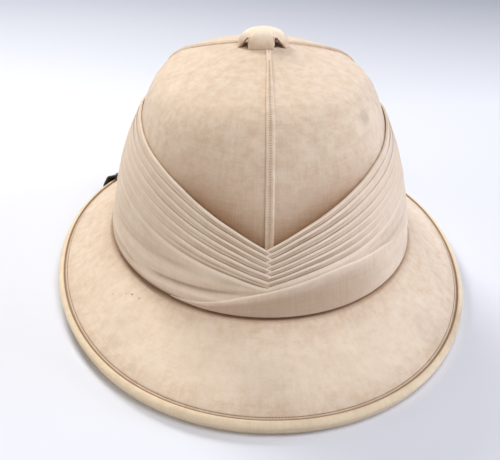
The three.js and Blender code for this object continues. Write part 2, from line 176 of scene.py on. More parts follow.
# Chin strap round the rim: azimuth, distance outside the rim, height, outward and upward parts of
# the way its face points
STRAP_ROUND = [
    (122.4, -10.4, 2.7, -0.16, -0.98),
    (124.2, -3.8, 1.5, -0.02, -1.0),
    (125.0, 1.0, 1.8, 0.2, -0.97),
    (125.6, 3.2, 4.2, 0.8, -0.55),
    (126.2, 3.1, 7.8, 1.0, 0.05),
    (126.8, 2.4, 11.6, 0.8, 0.6),
    (127.6, -1.2, 13.8, 0.4, 0.9),
]

# Chin strap on the brim behind the crown: azimuth, share of the way out, height over the brim
STRAP_OVER = [
    (129.5, 0.89, 3.9),
    (134.0, 0.75, 2.4),
    (141.0, 0.56, 1.5),
    (150.0, 0.39, 1.4),
    (160.0, 0.29, 1.4),
    (170.0, 0.24, 1.4),
    (180.0, 0.22, 1.4),
]

# Rings of the crown cover: heights up to the dome, then half widths over it
COVER_COLUMNS = 240
COVER_HEIGHTS = [36, 44, 52, 60, 67, 73] + [76 + 3 * k for k in range(19)]
DOME_HALF_WIDTHS = [72, 68.5, 64.5, 60, 55, 49.5, 44, 38, 32, 26, 20.5, 16, 12, 9.4, 8.2]

# Rings of the crown's inside, from the air hole down: half widths, then heights
INSIDE_HALF_WIDTHS = [8.2, 14, 22, 32, 44, 55, 66, 72]
INSIDE_HEIGHTS = [126, 114, 100, 86, 72, 58, 46, 36]

# Rings of the brim cover: shares of the way out, distances from the rim, shares underneath
BRIM_TOP_SHARES = [0.0, 0.03, 0.06, 0.09, 0.12, 0.16, 0.21, 0.28, 0.36, 0.44, 0.52, 0.6, 0.68, 0.76]
BRIM_EDGE_INSETS = [7.6, 6.4, 5.6, 5.3, 5.0, 4.7, 4.4, 4.05, 3.8, 2.0, 0.0]
BRIM_UNDER_SHARES = [1.0, 0.96, 0.84, 0.68, 0.52, 0.36, 0.21, 0.1, 0.0]

# Section of the rim binding: distance outward, height over the brim's top, and for the rows
# without one the height over the rim's foot
BINDING_SECTION = [
    (-3.6, 0.3, 0),
    (-3.66, 0.72, 0),
    (-3.5, 1.15, 0),
    (-3.1, 1.4, 0),
    (-2.3, 1.56, 0),
    (-1.2, 1.58, 0),
    (0.0, 1.28, 0),
    (0.85, 0.6, 0),
    (1.32, -0.5, 0),
    (1.5, -1.8, 0),
    (1.46, -3.2, 0),
    (1.2, -4.5, 0),
    (0.9, None, 0.55),
    (0.2, None, 0.0),
    (-2.0, None, 0.0),
    (-2.9, None, 0.5),
    (-5.9, -5.7, 0),
    (-6.1, -5.2, 0),
    (-6.0, -4.75, 0),
    (0.25, -4.78, 0),
    (0.3, 0.28, 0),
    (-1.8, 0.28, 0),
]

# Cover seams: name, turn from the front, half width of the crown where the seam starts
SEAMS = [
    ("front", 0, 11.0),
    ("left", SIDE_SEAM_TURN, 17.2),
    ("back", 180, 13.0),
    ("right", -SIDE_SEAM_TURN, 17.2),
]

# Upper side of a seam's section: -1 for its edge or 0 for its middle, distance across from there,
# share of the seam's height
SEAM_SECTION = [
    (-1, -0.02, 0.4),
    (-1, 0.1, 0.85),
    (-1, 0.42, 1.0),
    (-1, 1.0, 0.94),
    (0, -0.55, 0.82),
    (0, 0.0, 0.77),
    (0, 0.55, 0.83),
    (0, 1.15, 0.95),
    (0, 1.6, 0.9),
    (0, 2.1, 0.5),
]

# Rings of the plain band: shares of the way from its upper edge down to the brim
BAND_SHARES = [0.0, 0.03, 0.07, 0.12] + [0.18 + 0.0405 * k for k in range(19)] + [0.95, 0.975]

# Rows of the end fold: distance down from its edge, then how far its rolled edge is drawn in
FOLD_DOWNS = [0.0, 0.12, 0.3, 0.6, 1.2, 2.2] + [4 + 2.2 * k for k in range(9)]
FOLD_ROLL = [-0.65, -0.3, -0.08, 0.0, 0.0, -0.04]

# How much closer to the crown the upper pleats lie at the sides, from the top one down
PLEAT_HUG = [1.3, 0.85, 0.45, 0.15]

# Tone of the rows of a pleat's section: a painted highlight along the folded edge above zero, and
# darker flats below zero, partly dirt and partly painted shade
PLEAT_TONES = {2: -0.6, 4: -0.75, 5: -0.55, 6: 0.5, 7: 1.3, 8: 1.3, 9: 0.9}

# Ventilator's dome from its middle out: share of the half width, fall from the top
CAP_DOME = [
    (0.0, 0.0),
    (0.18, 0.12),
    (0.36, 0.55),
    (0.5, 1.15),
    (0.64, 2.2),
    (0.75, 3.6),
    (0.84, 5.3),
    (0.93, 7.6),
]

# Edge of the strap's section: distance from the edge, share of half the thickness
STRAP_EDGE = [(0.0, -0.45), (0.0, 0.45), (0.3, 0.92), (0.8, 1.0), (1.25, 0.66), (1.7, 1.0)]

# Cloths: material, share of the weave density, depth of the weave, share of fine dirt, then the
# base colour's shares for soiled and faded cloth and for tones above and below zero. On the cover
# and binding a tone above zero is dirt and painted shade, and one below zero a painted highlight;
# on the wrap a tone above zero is a painted highlight, and one below zero dirt and painted shade
CLOTHS = {
    "cover": (
        "aged_cover_cloth", 1.0, 0.5, 0.5,
        (0.8, 0.64, 0.51), (1.1, 1.1, 1.12), (0.5, 0.36, 0.27), (1.3, 1.35, 1.4),
    ),
    "wrap": (
        "pleated_wrap_cloth", 1.3, 0.25, 0.3,
        (0.86, 0.78, 0.7), (1.04, 1.05, 1.12), (1.22, 1.26, 1.36), (0.5, 0.39, 0.31),
    ),
    "binding": (
        "rim_binding_cloth", 0.9, 0.3, 0.3,
        (0.78, 0.68, 0.58), (1.08, 1.08, 1.08), (0.42, 0.32, 0.24), (1.1, 1.1, 1.1),
    ),
}

# Lights: name, place in metres, size in metres, power in watts, colour
LIGHT_AIM = (0, 0, 0.08)
LIGHTS = [
    ("back_softbox", (-0.55, 1.05, 1.05), 0.5, 18.0, (1.0, 0.98, 0.95)),
    ("top_softbox", (0.3, -0.35, 1.42), 0.7, 10.5, (1.0, 0.97, 0.95)),
    ("left_softbox", (-1.4, -0.1, 0.42), 0.8, 5.5, (1.0, 0.93, 0.8)),
    ("right_softbox", (1.35, 0.0, 0.42), 0.8, 11.5, (0.78, 0.84, 1.0)),
    ("front_fill", (0.0, -1.6, 0.45), 0.8, 4.0, (1.0, 0.95, 0.92)),
]
# Floor colours near and far; the darker far colour is painted shade of the light falling off
FLOOR_NEAR_COLOUR = (0.74, 0.76, 0.82, 1)
FLOOR_FAR_COLOUR = (0.4, 0.42, 0.48, 1)

# Camera: distance and aim in metres, focal length and frame shift as shares of the frame's width
CAMERA_TILT = math.radians(27.0)
CAMERA_YAW = math.radians(4.0)
CAMERA_ROLL = math.radians(1.4)
CAMERA_DISTANCE = 0.601
CAMERA_AIM_SIDE = -0.00729
CAMERA_AIM_HEIGHT = 0.060
CAMERA_FOCAL_SHARE = 1.7182
CAMERA_SHIFT = -0.0892

# Small marks on the cover: place, radius, strength, kind
MARK_CORE_SHARE = 0.4
MARK_COLOURS = {"dark": (0.12, 0.09, 0.06, 1), "light": (0.95, 0.93, 0.88, 1)}
COVER_MARKS = [
    ((-97.4, -80.6, 25.6), 0.6, 0.6, "dark"),
    ((-93.4, -82.8, 27.1), 0.5, 0.5, "dark"),
    ((-88.8, -85.3, 28.7), 0.6, 0.6, "dark"),
    ((-85.0, -87.4, 29.8), 0.9, 0.8, "dark"),
    ((-80.3, -92.6, 30.2), 0.8, 0.7, "dark"),
    ((-7.7, -165.1, 14.6), 24.0, 0.08, "dark"),
    ((-91.2, -109.1, 18.9), 22.0, 0.09, "dark"),
    ((98.5, -109.5, 15.1), 20.0, 0.08, "dark"),
    ((37.8, -83.0, 127.6), 0.7, 0.8, "dark"),
    ((37.2, -83.6, 129.4), 0.6, 0.6, "dark"),
    ((38.1, -82.4, 125.9), 0.5, 0.5, "dark"),
    ((86.1, -29.9, 102.9), 0.9, 0.7, "dark"),
    ((58.4, -55.0, 135.1), 7.0, 0.22, "dark"),
    ((-20.4, -120.0, 70.0), 1.0, 0.3, "dark"),
    ((-78.7, -12.4, 126.9), 1.6, 0.9, "light"),
]


def ramp(value, low, high):
    """Smooth step from 0 at low to 1 at high."""
    share = min(max((value - low) / (high - low), 0.0), 1.0)
    return share * share * (3 - 2 * share)


def bell(value, middle, width):
    """Soft bump that is 1 at the middle and dies away over the width."""
    return math.exp(-(((value - middle) / width) ** 2))


def read_table(rows, column, key):
    """Value of a column at a key, straight between the rows."""
    if key <= rows[0][0]:
        return rows[0][column]
    for before, after in zip(rows, rows[1:]):
        if key <= after[0]:
            share = (key - before[0]) / (after[0] - before[0])
            return before[column] + (after[column] - before[column]) * share
    return rows[-1][column]


def smooth_table(rows, column, key, reach):
    """Value of a column at a key, averaged over a reach to each side so that it turns softly."""
    steps = 4
    total = sum(read_table(rows, column, key + reach * k / steps) for k in range(-steps, steps + 1))
    return total / (2 * steps + 1)


# Crown surface


def smooth_curve(points, pieces):
    """Points on a smooth curve that passes through the given ones, however they are spaced."""
    ends = [points[0] * 2 - points[1]] + points + [points[-1] * 2 - points[-2]]
    curve = []
    for index in range(1, len(ends) - 2):
        a, b, c, d = ends[index - 1 : index + 3]
        first = max((b - a).length ** 0.5, 1e-6)
        middle = max((c - b).length ** 0.5, 1e-6)
        last = max((d - c).length ** 0.5, 1e-6)
        leave = ((b - a) / first - (c - a) / (first + middle) + (c - b) / middle) * middle
        arrive = ((c - b) / middle - (d - b) / (middle + last) + (d - c) / last) * middle
        for piece in range(pieces):
            t = piece / pieces
            u = t * t
            w = u * t
            curve.append(
                b * (2 * w - 3 * u + 1) + leave * (w - 2 * u + t)
                + c * (3 * u - 2 * w) + arrive * (w - u)
            )
    curve.append(points[-1].copy())
    return curve


def crown_rows():
    """Height, half width and outward normal all the way up the crown."""
    profile = [Vector((half, height)) for height, half in CROWN_PROFILE]
    curve = smooth_curve(profile, CROWN_STEPS)
    rows = []
    for index, point in enumerate(curve):
        tangent = curve[min(index + 1, len(curve) - 1)] - curve[max(index - 1, 0)]
        tangent.normalize()
        rows.append((point.y, point.x, tangent.y, -tangent.x))
    return rows


CROWN_ROWS = crown_rows()
CROWN_HEIGHTS = [row[0] for row in CROWN_ROWS]


def crown_row(height):
    """Half width, outward share and upward share of the crown's side at a height."""
    low, high = 0, len(CROWN_ROWS) - 1
    height = min(max(height, CROWN_HEIGHTS[0]), CROWN_HEIGHTS[-1])
    while high - low > 1:
        middle = (low + high) // 2
        if CROWN_HEIGHTS[middle] <= height:
            low = middle
        else:
            high = middle
    before, after = CROWN_ROWS[low], CROWN_ROWS[high]
    share = (height - before[0]) / (after[0] - before[0])
    return [before[k] + (after[k] - before[k]) * share for k in (1, 2, 3)]


def height_at_half_width(half_width):
    """Height on the crown where its half width is the given one."""
    for before, after in zip(CROWN_ROWS, CROWN_ROWS[1:]):
        if before[1] >= half_width >= after[1]:
            share = (before[1] - half_width) / (before[1] - after[1])
            return before[0] + (after[0] - before[0]) * share
    return CROWN_HEIGHTS[-1]


def crown_point(azimuth, height, offset):
    """Point at an azimuth and height, set off the crown's outside along its normal."""
    half, outward, upward = crown_row(height)
    angle = math.radians(azimuth)
    low = min(height - CROWN_HEIGHTS[0], 0.0)
    return Vector(
        (
            (half + offset * outward) * math.sin(angle),
            -(half * LENGTH_RATIO + offset * outward) * math.cos(angle),
            min(max(height, CROWN_HEIGHTS[0]), CROWN_HEIGHTS[-1]) + offset * upward + low,
        )
    )


# Brim surface


def rim_rise(azimuth):
    """How far the rim's foot lifts off the table at an azimuth."""
    turned = abs((azimuth + 540) % 360 - 180)
    if turned < SIDE_MIDDLE:
        return RIM_SIDE_RISE * ramp(turned, FRONT_FLAT_END, SIDE_MIDDLE)
    from_back = BACK_FLAT_START + SIDE_MIDDLE - turned
    return RIM_SIDE_RISE * ramp(from_back, SIDE_MIDDLE, BACK_FLAT_START)


def squared(value):
    """Turns a sine or cosine into its share on the rim's slightly squared oval."""
    return math.copysign(abs(value) ** (2 / RIM_SQUARENESS), value)


def brim_drop(out):
    """Share of the brim's drop at a share of the way out, softly turned."""
    total = 0.0
    for k in range(-3, 4):
        at = out + 0.015 * k
        total += 1.0 + (at - 1.0) * 1.1 if at > 1 else read_table(BRIM_PROFILE, 1, at)
    foot_lift = 0.003 * max(1 - out / 0.1, 0.0)
    return total / 7 - foot_lift


def brim_frame(azimuth, out):
    """Point, tangent, normal and level direction on the brim's top, and its foot-to-rim reach."""
    angle = math.radians(azimuth)
    sine, cosine = math.sin(angle), math.cos(angle)
    foot = Vector((FOOT_HALF_WIDTH * sine, -FOOT_HALF_WIDTH * LENGTH_RATIO * cosine, 0))
    rim = Vector((RIM_HALF_WIDTH * squared(sine), -RIM_HALF_LENGTH * squared(cosine), 0))
    across = rim - foot
    reach = across.length
    across.normalize()
    drop = FOOT_HEIGHT - PIECE_GAP - RIM_TOP_HEIGHT - rim_rise(azimuth)
    slope = -drop * (brim_drop(out + 0.03) - brim_drop(out - 0.03)) / (reach * 0.06)
    tangent = Vector((across.x, across.y, slope)).normalized()
    flat = math.hypot(tangent.x, tangent.y)
    normal = Vector((-across.x * tangent.z, -across.y * tangent.z, flat)).normalized()
    point = foot + across * (reach * out)
    point.z = FOOT_HEIGHT - PIECE_GAP - drop * brim_drop(out)
    return point, tangent, normal, across, reach


def brim_point(azimuth, out, offset):
    """Point at an azimuth and share of the way out, set off the brim's top along its normal."""
    point, _, normal, _, _ = brim_frame(azimuth, out)
    return point + normal * offset


# Modelling helpers


def start_clean():
    """Nothing selected, in object mode."""
    if bpy.context.object and bpy.context.object.mode != "OBJECT":
        bpy.ops.object.mode_set(mode="OBJECT")
    bpy.ops.object.select_all(action="DESELECT")


def only(piece):
    """Selects one piece and makes it the active one."""
    start_clean()
    piece.select_set(True)
    bpy.context.view_layer.objects.active = piece


def stack_place(vertex, sides):
    """Ring and side of a vertex in a straight stack of rings."""
    ring = round(vertex.co.z / STACK_STEP)
    side = round(math.atan2(-vertex.co.x, vertex.co.y) / (2 * math.pi) * sides) % sides
    return ring, side


def loft(name, rings, sides, place, ends, tone, smooth_angle=60):
    """Extrudes a circle ring by ring, closes its ends and settles each ring in its place.

    The ends are "joined" to each other, "capped", or drawn to "points". place(ring, side) gives a
    point in millimetres, and tone(ring, side) a value that is kept as the attribute "tone".
    """
    start_clean()
    bpy.ops.mesh.primitive_circle_add(
        vertices=sides, radius=1.0, fill_type="NOTHING", enter_editmode=True
    )
    piece = bpy.context.object
    piece.name = name
    piece.data.name = name
    bpy.ops.mesh.select_all(action="SELECT")
    for _ in range(rings - 1):
        bpy.ops.mesh.extrude_region_move(TRANSFORM_OT_translate={"value": (0, 0, STACK_STEP)})
    last = rings - 1
    closings = {"joined": [(0, last)], "capped": [(0,), (last,)], "points": []}
    for chosen in closings[ends]:
        shape = bmesh.from_edit_mesh(piece.data)
        for part in (shape.faces, shape.edges, shape.verts):
            for item in part:
                item.select = False
        for edge in shape.edges:
            first, second = (stack_place(vertex, sides)[0] for vertex in edge.verts)
            edge.select = first == second and first in chosen
        bmesh.update_edit_mesh(piece.data)
        if ends == "joined":
            bpy.ops.mesh.bridge_edge_loops()
        else:
            bpy.ops.mesh.edge_face_add()
    bpy.ops.object.mode_set(mode="OBJECT")
    mesh = piece.data
    spots = [stack_place(vertex, sides) for vertex in mesh.vertices]
    places = {spot: place(*spot) * MM for spot in spots}
    chart_cloth(mesh, spots, places, rings, sides)
    tones = mesh.attributes.new("tone", "FLOAT", "POINT")
    for vertex, spot in zip(mesh.vertices, spots):
        tones.data[vertex.index].value = tone(*spot)
    for vertex, spot in zip(mesh.vertices, spots):
        vertex.co = places[spot]
    mesh.update()
    bpy.ops.object.mode_set(mode="EDIT")
    bpy.ops.mesh.select_all(action="SELECT")
    if ends == "points":
        bpy.ops.mesh.remove_doubles(threshold=0.00001)
    bpy.ops.mesh.normals_make_consistent(inside=False)
    bpy.ops.object.mode_set(mode="OBJECT")
    only(piece)
    bpy.ops.object.shade_smooth_by_angle(angle=math.radians(smooth_angle))
    return piece


def chart_cloth(mesh, spots, places, rings, sides):
    """Lays a UV map in metres: across the sides, and along the rings."""
    round_about = [
        sum(
            (places[(ring, side)] - places[(ring, (side + 1) % sides)]).length
            for side in range(sides)
        )
        for ring in range(rings)
    ]
    width = sorted(round_about)[rings // 2]
    along = [0.0]
    for ring in range(1, rings + 1):
        steps = [
            (places[(ring % rings, side)] - places[(ring - 1, side)]).length
            for side in range(0, sides, max(sides // 8, 1))
        ]
        along.append(along[-1] + sum(steps) / len(steps))
    chart = mesh.uv_layers.new(name="cloth")
    for face in mesh.polygons:
        around = {spots[v][1] for v in face.vertices}
        stacked = {spots[v][0] for v in face.vertices}
        wraps_side = 0 in around and sides - 1 in around
        wraps_ring = rings > 2 and 0 in stacked and rings - 1 in stacked
        for loop, vertex in zip(face.loop_indices, face.vertices):
            ring, side = spots[vertex]
            if wraps_side and side == 0:
                side = sides
            if wraps_ring and ring == 0:
                ring = rings
            chart.data[loop].uv = (side / sides * width, along[ring])


def join_pieces(pieces, name):
    """Joins pieces into the first one."""
    start_clean()
    for piece in pieces:
        piece.select_set(True)
    bpy.context.view_layer.objects.active = pieces[0]
    bpy.ops.object.join()
    piece = bpy.context.object
    piece.name = name
    piece.data.name = name
    return piece


def finish_piece(piece, material, nodes=()):
    """Gives a piece its one material and its body, and hides the solids it stands for."""
    if piece is None or not piece.data.vertices:
        raise RuntimeError("a piece came out empty")
    piece.data.materials.clear()
    piece.data.materials.append(material)
    if nodes:
        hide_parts(*nodes)
    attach(piece, "root")
    return piece


# Material helpers


def add_node(tree, kind, place, **values):
    """Adds a shader node; a value named as an input sets it, and others set the node's options."""
    node = tree.nodes.new(kind)
    node.location = place
    for name, value in values.items():
        label = name.replace("_", " ")
        socket = next((s for s in node.inputs if s.name.lower() == label.lower()), None)
        if socket is not None and not isinstance(value, str):
            socket.default_value = value
        else:
            setattr(node, name, value)
    return node


def group_tree(name, inputs, outputs):
    """A shader node group with named sockets, or the one already built."""
    found = bpy.data.node_groups.get(name)
    if found:
        return found, None, None
    tree = bpy.data.node_groups.new(name, "ShaderNodeTree")
    for label, kind, value in inputs:
        socket = tree.interface.new_socket(label, in_out="INPUT", socket_type=kind)
        if value is not None:
            socket.default_value = value
    for label, kind in outputs:
        tree.interface.new_socket(label, in_out="OUTPUT", socket_type=kind)
    start = add_node(tree, "NodeGroupInput", (-1200, 0))
    end = add_node(tree, "NodeGroupOutput", (900, 0))
    return tree, start, end


def feed(tree, node, index, value):
    """Links a socket to a node's input, or sets the input to a number or colour."""
    if isinstance(value, bpy.types.NodeSocket):
        tree.links.new(value, node.inputs[index])
    else:
        node.inputs[index].default_value = value


def math_node(tree, operation, place, *values):
    """A Math node between sockets or numbers."""
    node = add_node(tree, "ShaderNodeMath", place, operation=operation)
    for index, value in enumerate(values):
        feed(tree, node, index, value)
    return node.outputs[0]


def blend_colours(tree, place, factor, first, second, kind="MIX"):
    """A colour mix; each of factor, first and second is a socket or a constant."""
    node = add_node(tree, "ShaderNodeMix", place, data_type="RGBA", blend_type=kind)
    for index, value in ((0, factor), (6, first), (7, second)):
        feed(tree, node, index, value)
    return node.outputs[2]


def spread(tree, place, source, **ends):
    """A Map Range node on a source, with its ends named as its sockets are."""
    node = add_node(tree, "ShaderNodeMapRange", place, **ends)
    tree.links.new(source, node.inputs[0])
    return node.outputs[0]


def relief(tree, place, height, strength, distance, below=None):
    """A Bump node on a height, laid over another bump's normal where one is given."""
    node = add_node(tree, "ShaderNodeBump", place, Strength=strength, Distance=distance)
    tree.links.new(height, node.inputs["Height"])
    if below:
        tree.links.new(below, node.inputs["Normal"])
    return node.outputs[0]


def laid_node(tree, kind, place, source, **values):
    """A texture or mapping node whose Vector comes from a source."""
    node = add_node(tree, kind, place, **values)
    tree.links.new(source, node.inputs["Vector"])
    return node


def weave_group():
    """Plain weave of warp and weft threads with uneven yarn."""
    tree, start, end = group_tree(
        "plain_weave",
        [
            ("Chart", "NodeSocketVector", None),
            ("Threads per metre", "NodeSocketFloat", 1800.0),
            ("Slub", "NodeSocketFloat", 0.5),
        ],
        [("Height", "NodeSocketFloat"), ("Yarn tone", "NodeSocketFloat")],
    )
    if start is None:
        return tree
    link = tree.links.new
    chart = start.outputs["Chart"]
    split = laid_node(tree, "ShaderNodeSeparateXYZ", (-1000, 0), chart)
    count = start.outputs["Threads per metre"]
    threads = math_node(tree, "MULTIPLY", (-1000, -200), count, math.pi)
    waves, tones = [], []
    for row, stretch in enumerate(((900.0, 30.0, 1.0), (30.0, 900.0, 1.0))):
        turns = math_node(tree, "MULTIPLY", (-800, 100 - 200 * row), split.outputs[row], threads)
        waves.append(math_node(tree, "SINE", (-600, 100 - 200 * row), turns))
        low = -400 - 300 * row
        turn = laid_node(tree, "ShaderNodeMapping", (-800, low), chart, Scale=stretch)
        yarn = laid_node(
            tree, "ShaderNodeTexNoise", (-600, low), turn.outputs[0], Scale=1.0, Detail=2.0
        )
        tones.append(yarn.outputs[0])
    over = math_node(tree, "MULTIPLY", (-400, 0), *waves)
    both = math_node(tree, "ADD", (-300, -500), *tones)
    middled = math_node(tree, "SUBTRACT", (-200, -400), both, 1.0)
    uneven = math_node(tree, "MULTIPLY", (-100, -500), middled, start.outputs["Slub"])
    halved = math_node(tree, "MULTIPLY", (-100, 0), over, 0.5)
    height = math_node(tree, "ADD", (100, 0), halved, uneven)
    link(height, end.inputs["Height"])
    link(uneven, end.inputs["Yarn tone"])
    return tree


def stain_group():
    """Broad mottling and small blotches of old cloth."""
    tree, start, end = group_tree(
        "aged_stain",
        [
            ("Place", "NodeSocketVector", None),
            ("Broad size", "NodeSocketFloat", 34.0),
            ("Fine size", "NodeSocketFloat", 130.0),
        ],
        [(label, "NodeSocketFloat") for label in ("Broad", "Fine", "Specks")],
    )
    if start is None:
        return tree
    link = tree.links.new
    kind, place = "ShaderNodeTexNoise", start.outputs["Place"]
    for row, (label, detail, low, high) in enumerate(
        (("Broad", 3.0, 0.36, 0.68), ("Fine", 5.0, 0.4, 0.7))
    ):
        level = -300 * row
        blot = laid_node(tree, kind, (-600, level), place, Detail=detail, Roughness=0.68)
        link(start.outputs[label + " size"], blot.inputs["Scale"])
        blotches = spread(tree, (-300, level), blot.outputs[0], From_Min=low, From_Max=high)
        link(blotches, end.inputs[label])
    dots = laid_node(tree, kind, (-600, -700), place, Scale=420.0, Detail=1.0)
    specks = spread(tree, (-300, -700), dots.outputs[0], From_Min=0.7, From_Max=0.8)
    link(specks, end.inputs["Specks"])
    return tree


def use_group(tree, group, place, **values):
    """Places a node group and sets its named values."""
    node = tree.nodes.new("ShaderNodeGroup")
    node.node_tree = group
    node.location = place
    for name, value in values.items():
        node.inputs[name.replace("_", " ").capitalize()].default_value = value
    return node


def blank_material(name):
    """A new material with only its Principled shader and output."""
    material = bpy.data.materials.new(name)
    material.use_nodes = True
    tree = material.node_tree
    tree.nodes.clear()
    output = add_node(tree, "ShaderNodeOutputMaterial", (1400, 0))
    shader = add_node(tree, "ShaderNodeBsdfPrincipled", (1100, 0))
    tree.links.new(shader.outputs[0], output.inputs[0])
    return material, tree, shader


def tinted(base, red=1.0, green=1.0, blue=1.0):
    """A colour with each part times its share."""
    return (base[0] * red, base[1] * green, base[2] * blue, 1.0)


def cloth_material(kind):
    """Aged cotton: weave, uneven yarn and mottled stains.

    A piece's tone paints dirt, painted highlights and painted shade: one colour above 0, another
    below.
    """
    name, density, weave_depth, soil_share, *shares = CLOTHS[kind]
    found = bpy.data.materials.get(name)
    if found:
        return found
    look = bpy.context.scene.helmet
    base = getattr(look, kind + "_colour")
    soiled, faded, above_zero_colour, below_zero_colour = (tinted(base, *share) for share in shares)
    material, tree, shader = blank_material(name)
    link = tree.links.new
    where = add_node(tree, "ShaderNodeTexCoord", (-1600, 0)).outputs["Object"]
    chart = add_node(tree, "ShaderNodeUVMap", (-1600, -400), uv_map="cloth")
    threads = look.weave_density * density
    weave = use_group(tree, weave_group(), (-1200, -400), Threads_per_metre=threads, Slub=0.55)
    stain = use_group(tree, stain_group(), (-1200, 0), Broad_size=26.0, Fine_size=150.0)
    link(chart.outputs[0], weave.inputs["Chart"])
    link(where, stain.inputs["Place"])
    colour = tinted(base)
    for column, (label, strength, layer) in enumerate(
        (("Broad", 0.9, faded), ("Fine", soil_share, soiled), ("Specks", 0.22, soiled))
    ):
        level = 100 - 180 * column
        share = math_node(tree, "MULTIPLY", (-900, level), stain.outputs[label], strength)
        colour = blend_colours(tree, (-700 + 200 * column, 100), share, colour, layer)
    tone = add_node(tree, "ShaderNodeAttribute", (-1200, 300), attribute_name="tone").outputs["Fac"]
    # Tone above zero: dirt and painted shade on the cover and binding, a painted highlight on the
    # wrap
    lift = math_node(tree, "MAXIMUM", (-900, 300), tone, 0.0)
    colour = blend_colours(tree, (-100, 100), lift, colour, above_zero_colour)
    # Tone below zero: a painted highlight on the cover, dirt and painted shade on the wrap
    turned_over = math_node(tree, "MULTIPLY", (-900, 400), tone, -1.0)
    sink = math_node(tree, "MAXIMUM", (-700, 300), turned_over, 0.0)
    colour = blend_colours(tree, (0, 100), sink, colour, below_zero_colour)
    for number, (spot, radius, strength, mark) in enumerate(COVER_MARKS if kind == "cover" else ()):
        level = 500 + 160 * number
        gap = laid_node(tree, "ShaderNodeVectorMath", (-1200, level), where, operation="DISTANCE")
        gap.inputs[1].default_value = [value * MM for value in spot]
        fade = spread(
            tree,
            (-900, level),
            gap.outputs["Value"],
            From_Min=radius * MM * MARK_CORE_SHARE,
            From_Max=radius * MM,
            To_Min=strength,
            To_Max=0.0,
        )
        place = (50 + 40 * number, 300)
        colour = blend_colours(tree, place, fade, colour, MARK_COLOURS[mark])
    yarn = math_node(tree, "MULTIPLY_ADD", (300, -200), weave.outputs["Yarn tone"], 0.34, 0.5)
    colour = blend_colours(tree, (600, 100), 0.5, colour, yarn, "OVERLAY")
    link(colour, shader.inputs["Base Color"])
    rough = spread(tree, (600, -150), stain.outputs["Fine"], To_Min=0.82, To_Max=0.95)
    link(rough, shader.inputs["Roughness"])
    shader.inputs["Sheen Weight"].default_value = 0.18
    shader.inputs["Sheen Roughness"].default_value = 0.5
    shader.inputs["Specular IOR Level"].default_value = 0.25
    lump = relief(tree, (800, -500), stain.outputs["Fine"], 0.35, 0.0006)
    bump = relief(tree, (1000, -400), weave.outputs["Height"], weave_depth, 0.00018, lump)
    link(bump, shader.inputs["Normal"])
    return material


def thread_material(name, base):
    """Twisted sewing thread."""
    found = bpy.data.materials.get(name)
    if found:
        return found
    material, tree, shader = blank_material(name)
    link = tree.links.new
    where = add_node(tree, "ShaderNodeTexCoord", (-900, 0)).outputs["Object"]
    twist = laid_node(tree, "ShaderNodeTexNoise", (-600, 0), where, Scale=1500.0, Detail=2.0)
    hollow = tinted(base, 0.63, 0.6, 0.57)
    colour = blend_colours(tree, (-200, 0), twist.outputs[0], tinted(base), hollow)
    link(colour, shader.inputs["Base Color"])
    link(relief(tree, (300, -300), twist.outputs[0], 0.5, 0.0002), shader.inputs["Normal"])
    shader.inputs["Roughness"].default_value = 0.7
    return material


def leather_material():
    """Dark, rubbed strap leather with fine grain and dry creases."""
    found = bpy.data.materials.get("worn_strap_leather")
    if found:
        return found
    material, tree, shader = blank_material("worn_strap_leather")
    link = tree.links.new
    where = add_node(tree, "ShaderNodeTexCoord", (-1200, 0)).outputs["Object"]
    grain = laid_node(tree, "ShaderNodeTexVoronoi", (-800, 0), where, Scale=1300.0)
    grain.feature = "DISTANCE_TO_EDGE"
    scuff = laid_node(
        tree, "ShaderNodeTexNoise", (-800, -300), where, Scale=120.0, Detail=5.0, Roughness=0.65
    )
    wear = spread(tree, (-500, -300), scuff.outputs[0], From_Min=0.45, From_Max=0.75)
    base = bpy.context.scene.helmet.strap_colour
    colour = blend_colours(tree, (-200, 0), wear, tinted(base), tinted(base, 2.6, 2.2, 1.9))
    tone = add_node(tree, "ShaderNodeAttribute", (-500, 300), attribute_name="tone")
    rubbed = tinted(base, 3.4, 2.6, 2.0)
    colour = blend_colours(tree, (0, 0), tone.outputs["Fac"], colour, rubbed)
    link(colour, shader.inputs["Base Color"])
    rough = spread(tree, (0, -300), wear, To_Min=0.38, To_Max=0.62)
    link(rough, shader.inputs["Roughness"])
    fold = relief(tree, (500, -500), scuff.outputs[0], 0.5, 0.0004)
    bump = relief(tree, (700, -400), grain.outputs["Distance"], 0.4, 0.0003, fold)
    link(bump, shader.inputs["Normal"])
    return material


def brass_material():
    """Dull rolled brass of the hidden clips."""
    found = bpy.data.materials.get("dull_clip_brass")
    if found:
        return found
    material, tree, shader = blank_material("dull_clip_brass")
    link = tree.links.new
    kind = "ShaderNodeTexNoise"
    where = add_node(tree, "ShaderNodeTexCoord", (-1000, 0)).outputs["Object"]
    turn = laid_node(tree, "ShaderNodeMapping", (-800, 0), where, Scale=(300.0, 300.0, 2600.0))
    brush = laid_node(tree, kind, (-600, 0), turn.outputs[0], Scale=1.0, Detail=3.0)
    tarnish = laid_node(tree, kind, (-600, -300), where, Scale=220.0, Detail=4.0).outputs[0]
    colour = blend_colours(
        tree, (-200, 0), tarnish, (0.52, 0.36, 0.14, 1), (0.22, 0.15, 0.07, 1)
    )
    link(colour, shader.inputs["Base Color"])
    shader.inputs["Metallic"].default_value = 1.0
    link(spread(tree, (0, -300), tarnish, To_Min=0.3, To_Max=0.6), shader.inputs["Roughness"])
    link(relief(tree, (500, -400), brush.outputs[0], 0.3, 0.0001), shader.inputs["Normal"])
    return material


# Wrap outline


def arm_edge(column, turned):
    """Height of a wrap edge at a turn from the front, the same on both sides and at the back."""
    mirrored = 180 - abs(turned) if abs(turned) > 90 else abs(turned)
    if mirrored > 4:
        return smooth_table(WRAP_EDGES, column, mirrored, 3.0)
    return read_table(WRAP_EDGES, column, mirrored)


